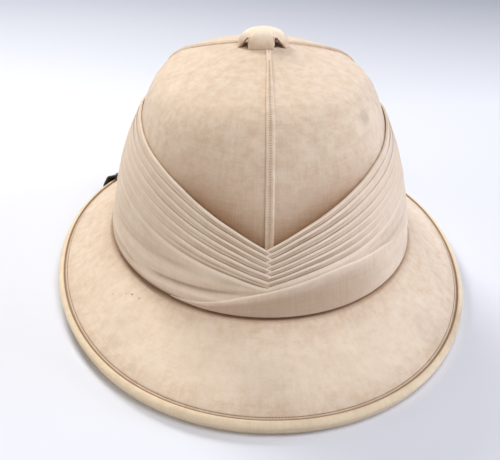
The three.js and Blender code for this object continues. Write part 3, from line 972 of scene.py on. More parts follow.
def side_turn(turned):
    """The same turn from the front, between -180 and 180 degrees."""
    return (turned + 540) % 360 - 180


def from_middles(turned):
    """Degrees to the nearer of the front and back middles."""
    return min(abs(turned), abs(180 - abs(turned)))


# Pieces


class HELMET_PG_sizes(bpy.types.PropertyGroup):
    """Sizes and colours that a user would change."""

    seam_width: bpy.props.FloatProperty(
        name="Seam width",
        description="Width of the lapped seams of the cover",
        default=0.005,
        min=0.002,
        max=0.01,
        unit="LENGTH",
    )
    seam_stand: bpy.props.FloatProperty(
        name="Seam height",
        description="How far the lapped seams stand out",
        default=0.00125,
        min=0.0005,
        max=0.003,
        unit="LENGTH",
    )
    stitch_pitch: bpy.props.FloatProperty(
        name="Stitch pitch",
        description="Distance from stitch to stitch",
        default=0.0014,
        min=0.0008,
        max=0.006,
        unit="LENGTH",
    )
    pleat_crest: bpy.props.FloatProperty(
        name="Pleat crest",
        description="How far the folded pleat edges stand off the crown",
        default=0.0035,
        min=0.002,
        max=0.006,
        unit="LENGTH",
    )
    pleat_step: bpy.props.FloatProperty(
        name="Pleat step",
        description="Height of the step from pleat to pleat",
        default=0.00055,
        min=0.0002,
        max=0.002,
        unit="LENGTH",
    )
    strap_width: bpy.props.FloatProperty(
        name="Strap width",
        description="Width of the chin strap",
        default=0.012,
        min=0.006,
        max=0.02,
        unit="LENGTH",
    )
    strap_thickness: bpy.props.FloatProperty(
        name="Strap thickness",
        description="Thickness of the chin strap",
        default=0.0016,
        min=0.001,
        max=0.003,
        unit="LENGTH",
    )
    weave_density: bpy.props.FloatProperty(
        name="Weave density",
        description="Threads per metre of the cover cloth",
        default=1900.0,
        min=500.0,
        max=6000.0,
    )
    cover_colour: bpy.props.FloatVectorProperty(
        name="Cover colour",
        description="Cloth of the crown and brim",
        subtype="COLOR",
        size=3,
        default=(0.75, 0.615, 0.475),
        min=0,
        max=1,
    )
    wrap_colour: bpy.props.FloatVectorProperty(
        name="Wrap colour",
        description="Cloth of the pleated wrap",
        subtype="COLOR",
        size=3,
        default=(0.73, 0.59, 0.45),
        min=0,
        max=1,
    )
    binding_colour: bpy.props.FloatVectorProperty(
        name="Binding colour",
        description="Cloth bound round the rim",
        subtype="COLOR",
        size=3,
        default=(0.78, 0.64, 0.46),
        min=0,
        max=1,
    )
    rim_thread_colour: bpy.props.FloatVectorProperty(
        name="Rim thread colour",
        description="Sewing thread beside the binding",
        subtype="COLOR",
        size=3,
        default=(0.33, 0.22, 0.13),
        min=0,
        max=1,
    )
    seam_thread_colour: bpy.props.FloatVectorProperty(
        name="Seam thread colour",
        description="Sewing thread of the seams",
        subtype="COLOR",
        size=3,
        default=(0.56, 0.43, 0.3),
        min=0,
        max=1,
    )
    strap_colour: bpy.props.FloatVectorProperty(
        name="Strap colour",
        description="Leather of the chin strap",
        subtype="COLOR",
        size=3,
        default=(0.018, 0.011, 0.008),
        min=0,
        max=1,
    )


class HELMET_OT_crown(bpy.types.Operator):
    """Crown: domed shell with its cloth cover, outside and inside"""

    bl_idname = "helmet.crown"
    bl_label = "Crown"

    def execute(self, context):
        heights = COVER_HEIGHTS + [height_at_half_width(half) for half in DOME_HALF_WIDTHS]
        outer = [(height, 0.0) for height in sorted(heights)]
        lip = outer[-1][0] + 0.2
        inner = [height_at_half_width(half) for half in INSIDE_HALF_WIDTHS] + INSIDE_HEIGHTS
        rows = outer + [(lip, -1.2), (lip, 1.2 - SHELL_THICKNESS)]
        rows += [(height, -SHELL_THICKNESS) for height in inner]

        def place(ring, side):
            azimuth = COVER_TURN + side * 360 / COVER_COLUMNS
            height, offset = rows[ring]
            lump = 0.0
            if offset == 0.0 and 66 < height < 161:
                base = crown_point(azimuth, height, 0)
                lump = 0.35 * noise.noise(base * 0.02)
                lump += 0.12 * noise.noise(base * 0.07 + Vector((7, 3, 1)))
                lump *= ramp(height, 66, 90) * (1 - ramp(height, 150, 160))
                turned = side_turn(side * 360 / COVER_COLUMNS)
                near = min(abs(abs(turned) - middle) for middle in (0, SIDE_SEAM_TURN, 180))
                lump += 0.22 * (1 - ramp(near, 2.0, 7.0)) * ramp(height, 74, 84)
            point = crown_point(azimuth, height, offset + lump)
            if ring in (0, len(rows) - 1):
                point.z = FOOT_HEIGHT
            return point

        # Tone of the cover: stains near the wrap's front and back crossings, and painted shade just
        # above the wrap's edge and over the whole inside
        def soil(ring, side):
            height, offset = rows[ring]
            turned = side_turn(side * 360 / COVER_COLUMNS)
            if offset < -0.5:
                # Painted shade over the whole inside
                return 0.3
            above = max(height - arm_edge(1, turned), 0)
            front = 1 - ramp(abs(turned), 18, 62)
            back = 1 - ramp(180 - abs(turned), 18, 62)
            near = math.exp(-above / 16.0)
            # A narrow band of painted shade just above the wrap, and stains near the front and back
            return min(0.2 * math.exp(-above / 9.0) + near * max(front, 0.6 * back), 1)

        piece = loft("crown_cover", len(rows), COVER_COLUMNS, place, "joined", soil)
        finish_piece(piece, cloth_material("cover"), ["crown"])
        return {"FINISHED"}


class HELMET_OT_brim(bpy.types.Operator):
    """Brim: sloping shell with its cloth cover, above and below"""

    bl_idname = "helmet.brim"
    bl_label = "Brim"

    def execute(self, context):
        rows = [("wall", 0.0)] + [("top", out) for out in BRIM_TOP_SHARES]
        rows += [("edge", inset) for inset in BRIM_EDGE_INSETS]
        rows += [("under", out) for out in BRIM_UNDER_SHARES] + [("wall", 1.0)]

        def place(ring, side):
            azimuth = COVER_TURN + side * 360 / COVER_COLUMNS
            kind, out = rows[ring]
            if kind == "wall":
                point = crown_point(azimuth, FOOT_HEIGHT, -SHELL_THICKNESS)
                point.z = FOOT_HEIGHT - PIECE_GAP - SHELL_THICKNESS * out
                return point
            if kind == "under":
                return brim_point(azimuth, out, -SHELL_THICKNESS)
            if kind == "edge":
                groove = -0.28 * bell(out, STITCH_LINE_INSET, 0.42)
                return brim_point(azimuth, 1 - out / brim_frame(azimuth, 1)[4], groove)
            base = brim_point(azimuth, out, 0)
            lump = 0.4 * noise.noise(base * 0.018 + Vector((3, 9, 4)))
            lump += 0.14 * noise.noise(base * 0.06)
            lump *= ramp(out, 0.1, 0.3) * (1 - ramp(out, 0.7, 0.85))
            return brim_point(azimuth, out, lump)

        # Tone of the brim: painted shade in the stitch groove, under the binding, on the underside
        # and in a line round the wrap's foot, and painted light that makes the front of the brim
        # paler
        def soil(ring, side):
            kind, out = rows[ring]
            if kind == "edge":
                line = 0.3 * bell(out, STITCH_LINE_INSET, 0.35)
                return 0.06 + line + 0.85 * (1 - ramp(out, 3.8, 4.35))
            if kind != "top":
                return 0.12
            turned = side * 360 / COVER_COLUMNS
            away = out * brim_frame(COVER_TURN + turned, out)[4]
            front = 1 - ramp(abs(side_turn(turned)), 30, 80)
            # Painted light: the front of the brim is made paler, a tone below zero
            worn = 0.34 * front * ramp(out, 0.15, 0.4) * (1 - ramp(out, 0.7, 0.8) * 0.6)
            return 0.75 * (1 - ramp(away, 4.4, 6.6)) + 0.16 * (1 - ramp(away, 5, 13)) - worn

        piece = loft("brim_cover", len(rows), COVER_COLUMNS, place, "joined", soil)
        finish_piece(piece, cloth_material("cover"), ["brim"])
        return {"FINISHED"}


class HELMET_OT_rim_binding(bpy.types.Operator):
    """Rim binding: folded cloth tape round the brim's edge, with its row of stitches"""

    bl_idname = "helmet.rim_binding"
    bl_label = "Rim binding"

    def execute(self, context):
        columns = 300

        def place(ring, side):
            azimuth = COVER_TURN + side * 360 / columns
            point, tangent, normal, across, _ = brim_frame(azimuth, 1)
            along, up, lift = BINDING_SECTION[ring]
            if up is None:
                spot = point - normal * SHELL_THICKNESS + across * along
                spot.z = rim_rise(azimuth) + lift
                return spot
            pucker = 0.0
            if 1 < ring < 12:
                pucker = 0.09 * noise.noise(Vector((side * 0.8, ring * 0.35, 2)))
            return point + tangent * (along + pucker * 0.6) + normal * (up + pucker)

        # Tone of the binding: painted shade along its inner edge against the brim and on its outer
        # side face, and random dirt patches
        def soil(ring, side):
            edge = (0.9, 0.75, 0.15)[ring] if ring < 3 else 0.0
            patch = 0.3 * ramp(noise.noise(Vector((side * 0.05, ring * 0.2, 8))), 0.1, 0.6)
            return min(edge + patch + (0.12 if 8 <= ring < 12 else 0.0), 1)

        piece = loft(
            "rim_binding_cloth", len(BINDING_SECTION), columns, place, "joined", soil
        )
        finish_piece(piece, cloth_material("binding"), ["rim_binding"])
        turns = [COVER_TURN + 360.0 * k / RIM_STITCHES for k in range(RIM_STITCHES)]
        spots = [self.stitch_place(azimuth) for azimuth in turns]
        stitches = stitch_row("rim_stitches", spots, *RIM_STITCH_SIZE)
        colour = context.scene.helmet.rim_thread_colour
        finish_piece(stitches, thread_material("rim_thread", colour))
        return {"FINISHED"}

    def stitch_place(self, azimuth):
        """Middle, direction and face of one stitch in the groove beside the binding."""
        out = 1 - STITCH_LINE_INSET / brim_frame(azimuth, 1)[4]
        point, _, normal, _, _ = brim_frame(azimuth, out)
        run = brim_frame(azimuth + 0.5, out)[0] - brim_frame(azimuth - 0.5, out)[0]
        return point - normal * 0.1, run.normalized(), normal


def stitch_row(name, places, length, width, depth):
    """Draws one stitch out of a small drum, pinches its ends and copies it to every place."""
    start_clean()
    bpy.ops.mesh.primitive_cylinder_add(vertices=6, radius=0.5, depth=1.0, enter_editmode=True)
    first = bpy.context.object
    bpy.ops.mesh.select_all(action="DESELECT")
    bpy.ops.mesh.select_mode(type="FACE")
    for end in (1, -1):
        shape = bmesh.from_edit_mesh(first.data)
        for face in shape.faces:
            face.select = face.normal.z * end > 0.9
        bmesh.update_edit_mesh(first.data)
        pull = (0, 0, STITCH_TIP * end)
        bpy.ops.mesh.extrude_region_move(TRANSFORM_OT_translate={"value": pull})
        bpy.ops.transform.resize(value=(0.45, 0.45, 1.0))
        bpy.ops.mesh.select_all(action="DESELECT")
    bpy.ops.mesh.select_mode(type="VERT")
    bpy.ops.object.mode_set(mode="OBJECT")
    corners = [vertex.co.copy() for vertex in first.data.vertices]
    faces = [list(face.vertices) for face in first.data.polygons]
    bpy.data.objects.remove(first)
    tip = 0.5 + STITCH_TIP
    points, rows = [], []
    for middle, direction, face in places:
        across = direction.cross(face).normalized()
        base = len(points)
        for co in corners:
            bow = depth * 0.35 * (1 - min(abs(co.z) / tip, 1) ** 2)
            along = co.z / (2 * tip) * length
            lift = co.y * depth + bow
            spot = middle + direction * along + across * (co.x * width) + face * lift
            points.append(spot * MM)
        rows.extend([[base + k for k in corner] for corner in faces])
    mesh = bpy.data.meshes.new(name)
    mesh.from_pydata([tuple(point) for point in points], [], rows)
    mesh.update()
    mesh.shade_smooth()
    piece = bpy.data.objects.new(name, mesh)
    bpy.context.scene.collection.objects.link(piece)
    return piece


class HELMET_OT_cover_seams(bpy.types.Operator):
    """Cover seams: four lapped seams that meet under the ventilator, with their stitches"""

    bl_idname = "helmet.cover_seams"
    bl_label = "Cover seams"

    def execute(self, context):
        for name, turned, start_half in SEAMS:
            self.seam(context.scene.helmet, name, turned, start_half)
        return {"FINISHED"}

    def seam(self, look, name, turned, start_half):
        """One seam from the ventilator down under the wrap, and its stitches."""
        half = look.seam_width / MM / 2
        stand = look.seam_stand / MM
        section = [(half * side + across, stand * share) for side, across, share in SEAM_SECTION]
        section = [(-half + 0.15, -0.2)] + section + [(half, -0.02), (half - 0.3, -0.2)]
        stations = 60
        azimuth = COVER_TURN + turned
        angle = math.radians(azimuth)
        forward = Vector((math.cos(angle), LENGTH_RATIO * math.sin(angle), 0)).normalized()
        on_middle = turned in (0, 180)
        high = height_at_half_width(SEAM_BEND_HALF_WIDTH)
        low = arm_edge(1, turned) + 0.2

        def taper(share):
            """Narrow under the ventilator and widest at the wrap."""
            return 1.12 - 0.42 * (1 - ramp(share, 0.0, SEAM_TAPER_END))

        def lean(share):
            """How far the front seam is sewn off its middle, most of all at the top."""
            return 0.35 + 1.45 * (1 - ramp(share, 0.0, SEAM_TAPER_END)) if turned == 0 else 0.0

        def station_height(share):
            past = share - SEAM_BEND_SHARE
            if past < 0:
                step = (SEAM_BEND_HALF_WIDTH - start_half) * share / SEAM_BEND_SHARE
                return height_at_half_width(start_half + step)
            return high + (low - high) * past / (1 - SEAM_BEND_SHARE)

        def place(ring, side):
            share = ring / (stations - 1)
            across, up = section[side]
            wobble = 0.12 * noise.noise(Vector((ring * 0.35, turned, 0)))
            across = across * taper(share) + lean(share) + wobble
            return crown_point(azimuth, station_height(share), up + 0.35) + forward * across

        # Tone of a seam: stains near the wrap, most at front and back, dirt and painted shade along
        # its lapped edges, and painted shade in its stitch groove
        def soil(ring, side):
            above = station_height(ring / (stations - 1)) - arm_edge(1, turned)
            strong = 0.5 if on_middle else 0.15
            groove = 0.05 if side in (5, 6, 7) else 0.0
            edge = {0: 0.8, 1: 0.7, 2: 0.3, 11: 0.3}.get(side, 0.0) * (1.0 if on_middle else 0.35)
            return min(strong * math.exp(-above / 16) + groove + edge, 1)

        piece = loft("seam_" + name + "_lap", stations, len(section), place, "capped", soil)
        finish_piece(piece, cloth_material("cover"), ["seam_" + name])
        spots = []
        share = 0.04 if name != "front" else 0.1
        last = None
        while share < 0.995:
            height = station_height(share)
            spot = crown_point(azimuth, height, stand * 0.78 + 0.38) + forward * lean(share)
            if last is None or (spot - last).length >= look.stitch_pitch / MM:
                slope = crown_point(azimuth, height + 0.3, stand)
                slope -= crown_point(azimuth, height - 0.3, stand)
                face = forward.cross(slope).normalized()
                if face.z < 0:
                    face = -face
                spots.append((spot, (forward + slope.normalized() * 0.22).normalized(), face))
                last = spot
            share += 0.001
        stitches = stitch_row("seam_" + name + "_stitches", spots, *SEAM_STITCH_SIZE)
        thread = thread_material("seam_thread", look.seam_thread_colour)
        finish_piece(stitches, thread)


class HELMET_OT_wrap(bpy.types.Operator):
    """Wrap: plain band, folded pleats that cross at front and back, and the diagonal end fold"""

    bl_idname = "helmet.wrap"
    bl_label = "Pleated wrap"

    def execute(self, context):
        look = context.scene.helmet
        band = self.plain_band()
        pleats = []
        for arm, direction in (("left", 1), ("right", -1)):
            for number in range(len(PLEAT_SHARES[arm])):
                pleats.append(self.pleat(look, arm, direction, number))
        piece = join_pieces(pleats, "wrap_pleats")
        fold = self.end_fold()
        finish_piece(band, cloth_material("wrap"), ["pagri"])
        finish_piece(piece, cloth_material("wrap"))
        finish_piece(fold, cloth_material("wrap"))
        return {"FINISHED"}

    def plain_band(self):
        """Ring from the lowest pleat down to the brim, with soft rolls and creases."""
        columns = 360
        rows = len(BAND_SHARES)

        def outer_height(turned, ring):
            crest = band_crest(turned)
            return crest + (FOOT_HEIGHT + BAND_FOOT - crest) * BAND_SHARES[min(ring, rows - 1)]

        def place(ring, side):
            turned = side_turn(side * 360 / columns)
            azimuth = COVER_TURN + turned
            crest = band_crest(turned)
            if ring < rows:
                height = outer_height(turned, ring)
                return crown_point(azimuth, height, band_offset(turned, height, crest))
            step = ring - rows
            if step == 0:
                out = band_offset(turned, FOOT_HEIGHT + 1.4, crest) - 0.25
                return crown_point(azimuth, FOOT_HEIGHT + 0.9, out)
            if step == 1:
                return crown_point(azimuth, FOOT_HEIGHT + 0.45, 3.2)
            low = FOOT_HEIGHT + 0.4
            if step == 2:
                return crown_point(azimuth, low, 0.5)
            return crown_point(azimuth, low + (crest - 1.2 - low) * (step - 2) / 3, 0.45)

        # Tone of the band: painted shade on its tucked foot and inside, a painted highlight along
        # its upper edge at the front, a painted highlight on the rolls and painted shade in the
        # creases, painted shade towards its foot on the brim, and random patches and streaks
        def tone(ring, side):
            turned = side_turn(side * 360 / columns)
            if ring >= rows:
                return -0.8
            if ring < 3:
                return 0.7 - 0.5 * ramp(abs(turned), 20, 60)
            height = outer_height(turned, ring)
            patch = 0.2 * noise.noise(Vector((side * 0.03, height * 0.06, 5)))
            streak = Vector((turned * 0.03, height * 0.5 + 0.02 * turned, 9))
            patch += 0.26 * noise.noise(streak)
            dark_foot = 0.45 * ramp(BAND_SHARES[ring], 0.93, 1.0)
            return 0.7 * band_roll(turned, height) + patch - dark_foot

        return loft("wrap_band", rows + 6, columns, place, "joined", tone)

    def pleat(self, look, arm, direction, number):
        """One folded pleat of one arm, from the front middle round to the back middle."""
        crest = look.pleat_crest / MM
        step = look.pleat_step / MM
        shares = PLEAT_SHARES[arm] + [1.0]
        section_points = 13
        stations = 130
        start, end = -1.3, 181.3

        def turn_at(ring):
            return start + (end - start) * ring / (stations - 1)

        def place(ring, side):
            turned = turn_at(ring)
            away = from_middles(turned)
            top = pleat_height(turned, direction, shares[number], number)
            below = pleat_height(turned, direction, shares[number + 1], number + 1)
            pitch = max(top - below, 1.2)
            flat = 1 - 0.78 * ramp(away, 14, 62)
            uneven = noise.noise(Vector((turned * 0.035, number * 7.7, direction * 3.0)))
            rise = step * flat * (1 + 0.55 * uneven)
            thick = min(0.95, rise + 0.1)
            fine = noise.noise(Vector((turned * 0.04, number * 3.9, direction * 5.0)))
            fine = 0.22 * flat * (0.4 + fine)
            wave = 0.1 * noise.noise(Vector((turned * 0.09, number * 5.1, direction)))
            hug = PLEAT_HUG[number] if number < len(PLEAT_HUG) else 0.0
            top_out = crest + wave - hug * ramp(away, 12, 50)
            rows = [
                (pitch + 0.9, top_out - rise * 1.35),
                (pitch * 0.98, top_out - rise),
                (pitch * 0.8, top_out - rise * 0.72),
                (pitch * 0.66, top_out - rise * 0.5 + fine * 0.5),
                (pitch * 0.58, top_out - rise * 0.42 - fine * 0.5),
                (pitch * 0.42, top_out - rise * 0.2),
                (min(1.25, pitch * 0.3), top_out - 0.08),
                (min(0.75, pitch * 0.2), top_out),
                (0.25, top_out - 0.05),
                (0.0, top_out - 0.34),
                (0.1, top_out - thick * 0.85),
                (0.5, top_out - thick * 1.1),
                (1.1, 0.5),
            ]
            if number == 0:
                rows[8:11] = [(0.0, top_out - 0.6), (0.05, top_out - 1.6), (0.3, 0.7)]
            down, out = rows[side]
            tuck = 1 - ramp(min(turned - start, end - turned), 0.0, 0.7)
            azimuth = COVER_TURN + turned * direction
            return crown_point(azimuth, top - down, max(out - 0.7 * tuck, 0.45))

        def tone(ring, side):
            turned = turn_at(ring)
            streak = noise.noise(Vector((turned * 0.05, side * 7.7 + number * 13.1, direction)))
            # The painted highlight, painted shade and darker flats fade away from the front and
            # back middles
            fade = 1 - 0.84 * ramp(from_middles(turned), 9, 52)
            # Painted shade in the grooves between pleats and on the hidden rows
            if side in (0, 1, 10, 11):
                return -0.9 * fade
            line = noise.noise(Vector((turned * 0.03, number * 9.1, direction * 4.0)))
            worn = {3: 0.8 * ramp(line, -0.25, 0.15) - 0.45, **PLEAT_TONES}.get(side, 0.0)
            patchy = noise.noise(Vector((turned * 0.12, number * 3.3 + direction, 1)))
            return worn * (0.75 + 0.5 * patchy) * fade + 0.22 * streak

        name = "pleat_" + arm + "_" + str(number)
        return loft(name, stations, section_points, place, "capped", tone, 75)

    def end_fold(self):
        """Folded end of the wrap that crosses the band on a slant."""
        stations = 150
        first, last = -34.0, 78.0
        downs = FOLD_DOWNS
        low = FOOT_HEIGHT + 0.6

        def turn_at(ring):
            return first + (last - first) * ring / (stations - 1)

        def place(ring, side):
            turned = turn_at(ring)
            azimuth = COVER_TURN + turned
            wobble = 0.12 * noise.noise(Vector((turned * 0.15, 4, 0)))
            edge = max(smooth_table(END_FOLD, 1, turned, 2.5) + wobble, FOOT_HEIGHT + 0.7)
            stand = smooth_table(END_FOLD, 2, turned, 3.0)
            crest = band_crest(turned)
            reach = edge - low
            if side < len(downs):
                near = min(reach / 6.0, 1.0)
                down = min(downs[side], downs[5]) * near
                if side > 5:
                    room = max(reach - down, 0.0) / (downs[-1] - downs[5])
                    down += (downs[side] - downs[5]) * room
                height = edge - down
                out = band_offset(turned, height, crest) + stand * (1 - 0.35 * ramp(down, 2, 20))
                out += FOLD_ROLL[side] * max(stand, 0.05) if side < 6 else 0.0
                ripple = 0.1 * noise.noise(Vector((turned * 0.07, height * 0.3, 11)))
                out += ripple * ramp(down, 1.5, 5)
                hollow = 0.3 * bell(down, 6.5, 1.1)
                out -= hollow * ramp(turned, -8, 8) * (1 - ramp(turned, 24, 40))
                return crown_point(azimuth, height, out)
            height, sunk = ((low, 0.9), (low + reach * 0.5, 0.9), (edge - 0.35, 0.5))[
                side - len(downs)
            ]
            return crown_point(azimuth, height, band_offset(turned, height, crest) - sunk)

        # Tone of the end fold: painted shade on its hidden rows and below its edge, and a painted
        # highlight along the folded edge
        def tone(ring, side):
            turned = turn_at(ring)
            if side >= len(downs):
                return -0.7
            if side < 5:
                return (0.6, 1.0, 1.0, 0.9, 0.4)[side] * (1 - ramp(turned, 36, 60))
            return -0.5 * ramp(downs[side], 1.5, 9) * (1 - ramp(abs(turned - 4), 22, 50))

        return loft("wrap_end_fold", stations, len(downs) + 3, place, "capped", tone, 75)


def pleat_height(turned, direction, share, number):
    """Height of a pleat's folded edge on the left (+1) or right (-1) arm.

    The turn from the front goes from 0 to 180 degrees, and a little past both middles.
    """
    past = max(-turned, turned - 180)
    if past > 0:
        first, second = WRAP_EDGES[:2]
        top, low = (first[k] - (second[k] - first[k]) / second[0] * past for k in (1, 2))
    else:
        top, low = arm_edge(1, turned), arm_edge(2, turned)
    shift = ARM_SHIFT * direction * (1 - ramp(from_middles(turned), 10, 40))
    wobble = 0.5 * noise.noise(Vector((turned * 0.045, number * 2.7 + direction * 9, 0.5)))
    wobble += 0.12 * noise.noise(Vector((turned * 0.2, number * 4.1, direction)))
    if number == 0:
        wobble *= 0.3
    return top + (low - top) * share + shift + wobble


def band_crest(turned):
    """Height of the band's own upper edge, which is the lowest pleat."""
    if abs(turned) < 90:
        side = 2 * ramp(turned, -3, 3) - 1
    else:
        side = math.copysign(ramp(180 - abs(turned), -1, 3), turned)
    return arm_edge(2, turned) + ARM_SHIFT * side * (1 - ramp(from_middles(turned), 10, 40))


def band_roll(turned, height):
    """Height of the soft rolls on the plain band, with the creases below zero."""
    roll = 0.0
    for first, last, low, high, width, depth in BAND_ROLLS:
        if first - 6 < turned < last + 6:
            share = min(max((turned - first) / (last - first), 0), 1)
            middle = low + (high - low) * share
            ends = ramp(turned, first - 6, first + 8) * (1 - ramp(turned, last - 8, last + 6))
            roll += depth * ends * bell(height, middle, width)
    return roll


def band_offset(turned, height, crest):
    """How far the plain band stands off the crown."""
    down = crest - height
    if down < 0.1:
        stand = 2.75
    elif down < 4.5:
        stand = 3.5 - 0.35 * ramp(down, 1.4, 4.5)
    else:
        stand = 3.2 + 1.05 * ramp(FOOT_HEIGHT + 12 - height, 0, 11)
    roll = 1.5 * band_roll(turned, height)
    roll += 0.16 * noise.noise(Vector((turned * 0.06, height * 0.22, 3)))
    roll += 0.07 * noise.noise(Vector((turned * 0.2, height * 0.7, 6)))
    return stand + roll * ramp(down, 0.5, 4.0) * ramp(height, FOOT_HEIGHT, FOOT_HEIGHT + 4)


class HELMET_OT_ventilator(bpy.types.Operator):
    """Ventilator: domed button on four legs, covered in cloth and open at its corners"""

    bl_idname = "helmet.ventilator"
    bl_label = "Ventilator"

    def execute(self, context):
        columns = 144
        rows = len(CAP_DOME)
        inset = CAP_WALL / CAP_HALF_LENGTH
        lips = [(-0.012, 0.3), (-0.03, 0.0), (0.02 - inset, 0.0), (-inset, 0.3)]

        def spot(turned, reach, height):
            angle = math.radians(turned + CAP_TURN)
            return Vector(
                (
                    CAP_SHIFT_X + CAP_HALF_WIDTH * reach * math.sin(angle),
                    CAP_SHIFT_Y - CAP_HALF_LENGTH * reach * math.cos(angle),
                    height,
                )
            )

        def ground(point):
            """Height of the crown under a point of the button's edge."""
            half = max(math.hypot(point.x, point.y / LENGTH_RATIO), AIR_HOLE_HALF_WIDTH + 0.3)
            return height_at_half_width(half) + 0.15

        def opening(turned):
            """0 at the legs and 1 at the corner openings."""
            from_leg = min(turned % 180, 180 - turned % 180)
            return ramp(from_leg, 30, 36) * min(max((68 - from_leg) / 26, 0), 1)

        def place(ring, side):
            turned = side * 360 / columns
            open_share = opening(turned)
            drawn_in = 1 - 0.09 * open_share
            reach_edge = 1 - 0.13 * open_share
            edge_height = ground(spot(turned, reach_edge, 0)) + CAP_OPENING_HEIGHT * open_share
            if ring < rows:
                reach, fall = CAP_DOME[ring]
                height = max(CAP_TOP_HEIGHT - fall, edge_height + 0.5)
                return spot(turned, reach * drawn_in, height)
            if ring < rows + len(lips):
                reach, lift = lips[ring - rows]
                return spot(turned, reach_edge + reach, edge_height + lift)
            reach, fall = CAP_DOME[2 * rows + len(lips) - 1 - ring]
            height = CAP_TOP_HEIGHT - fall - CAP_WALL * (0.55 if reach > 0.8 else 1)
            if reach <= 0.3:
                return spot(turned, reach * 0.5, height)
            reach = max(reach * drawn_in - inset * 0.8, 0.0)
            return spot(turned, reach, max(height, edge_height + 0.3) if reach > 0.3 else height)

        # Tone of the button: painted shade under the dome and in its openings, darker towards the
        # dome's edge, and a painted highlight over its top, a tone below zero
        def soil(ring, side):
            if ring >= rows + 2:
                return 0.75
            return 0.35 * ramp(ring, rows - 2, rows + 1) - 0.8 * (1 - ramp(ring, 4, rows - 1))

        rings = 2 * rows + len(lips)
        piece = loft("ventilator_button", rings, columns, place, "points", soil, 50)
        finish_piece(piece, cloth_material("cover"), ["vent_cap"])
        return {"FINISHED"}


def strap_run(thickness):
    """Middle line and face direction of the chin strap, all the way round."""
    run = []
    depth = -SHELL_THICKNESS - STRAP_WALL_GAP - thickness / 2
    for height in (54, 48, 42):
        run.append((crown_point(92, height, depth), Vector((-1, 0, 0.06)).normalized()))
    low = crown_point(92.3, FOOT_HEIGHT, -SHELL_THICKNESS - 1.6 - thickness / 2)
    low.z = FOOT_HEIGHT - 3.2
    run.append((low, Vector((-0.93, 0, -0.37))))
    for azimuth, out, below in STRAP_UNDER:
        point, _, normal, across, reach = brim_frame(azimuth, max(out, 0))
        run.append((point - normal * below + across * (reach * min(out, 0)), -normal))
    for azimuth, outward, height, face_out, face_up in STRAP_ROUND:
        point, _, _, across, _ = brim_frame(azimuth, 1)
        spot = point + across * outward
        spot.z = height
        face = across * face_out
        face.z = face_up
        run.append((spot, face.normalized()))
    for azimuth, out, above in STRAP_OVER:
        point, _, normal, _, _ = brim_frame(azimuth, out)
        run.append((point + normal * above, normal))
    mirror = Vector((-1, 1, 1))
    return run + [(point * mirror, face * mirror) for point, face in reversed(run[:-1])]


class HELMET_OT_chin_strap(bpy.types.Operator):
    """Chin strap: one leather strap with rounded, creased edges, and the brass clips at its ends"""

    bl_idname = "helmet.chin_strap"
    bl_label = "Chin strap"

    def execute(self, context):
        look = context.scene.helmet
        thickness = look.strap_thickness / MM
        run = strap_run(thickness)
        path = smooth_curve([point for point, _ in run], STRAP_STEPS)
        faces = smooth_curve([face for _, face in run], STRAP_STEPS)
        half, thick = look.strap_width / MM / 2, thickness / 2
        section = [(inset - half, up * thick) for inset, up in STRAP_EDGE] + [(0.0, thick * 1.04)]
        section += [(half - inset, up * thick) for inset, up in reversed(STRAP_EDGE)]
        section += [(half - 0.35, -0.95 * thick), (0.0, -thick), (-half + 0.35, -0.95 * thick)]

        def place(ring, side):
            tangent = (path[min(ring + 1, len(path) - 1)] - path[max(ring - 1, 0)]).normalized()
            face = faces[ring] - tangent * faces[ring].dot(tangent)
            face.normalize()
            across = face.cross(tangent).normalized()
            along, up = section[side]
            return path[ring] + across * along + face * up

        def worn(ring, side):
            return 0.3 if side in (0, 1, 11, 12) else 0.0

        piece = loft("chin_strap_leather", len(path), len(section), place, "capped", worn, 50)
        finish_piece(piece, leather_material(), ["chin_strap"])
        for name in ("strap_clip_left", "strap_clip_right"):
            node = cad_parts[name]
            node.data.materials.clear()
            node.data.materials.append(brass_material())
        return {"FINISHED"}


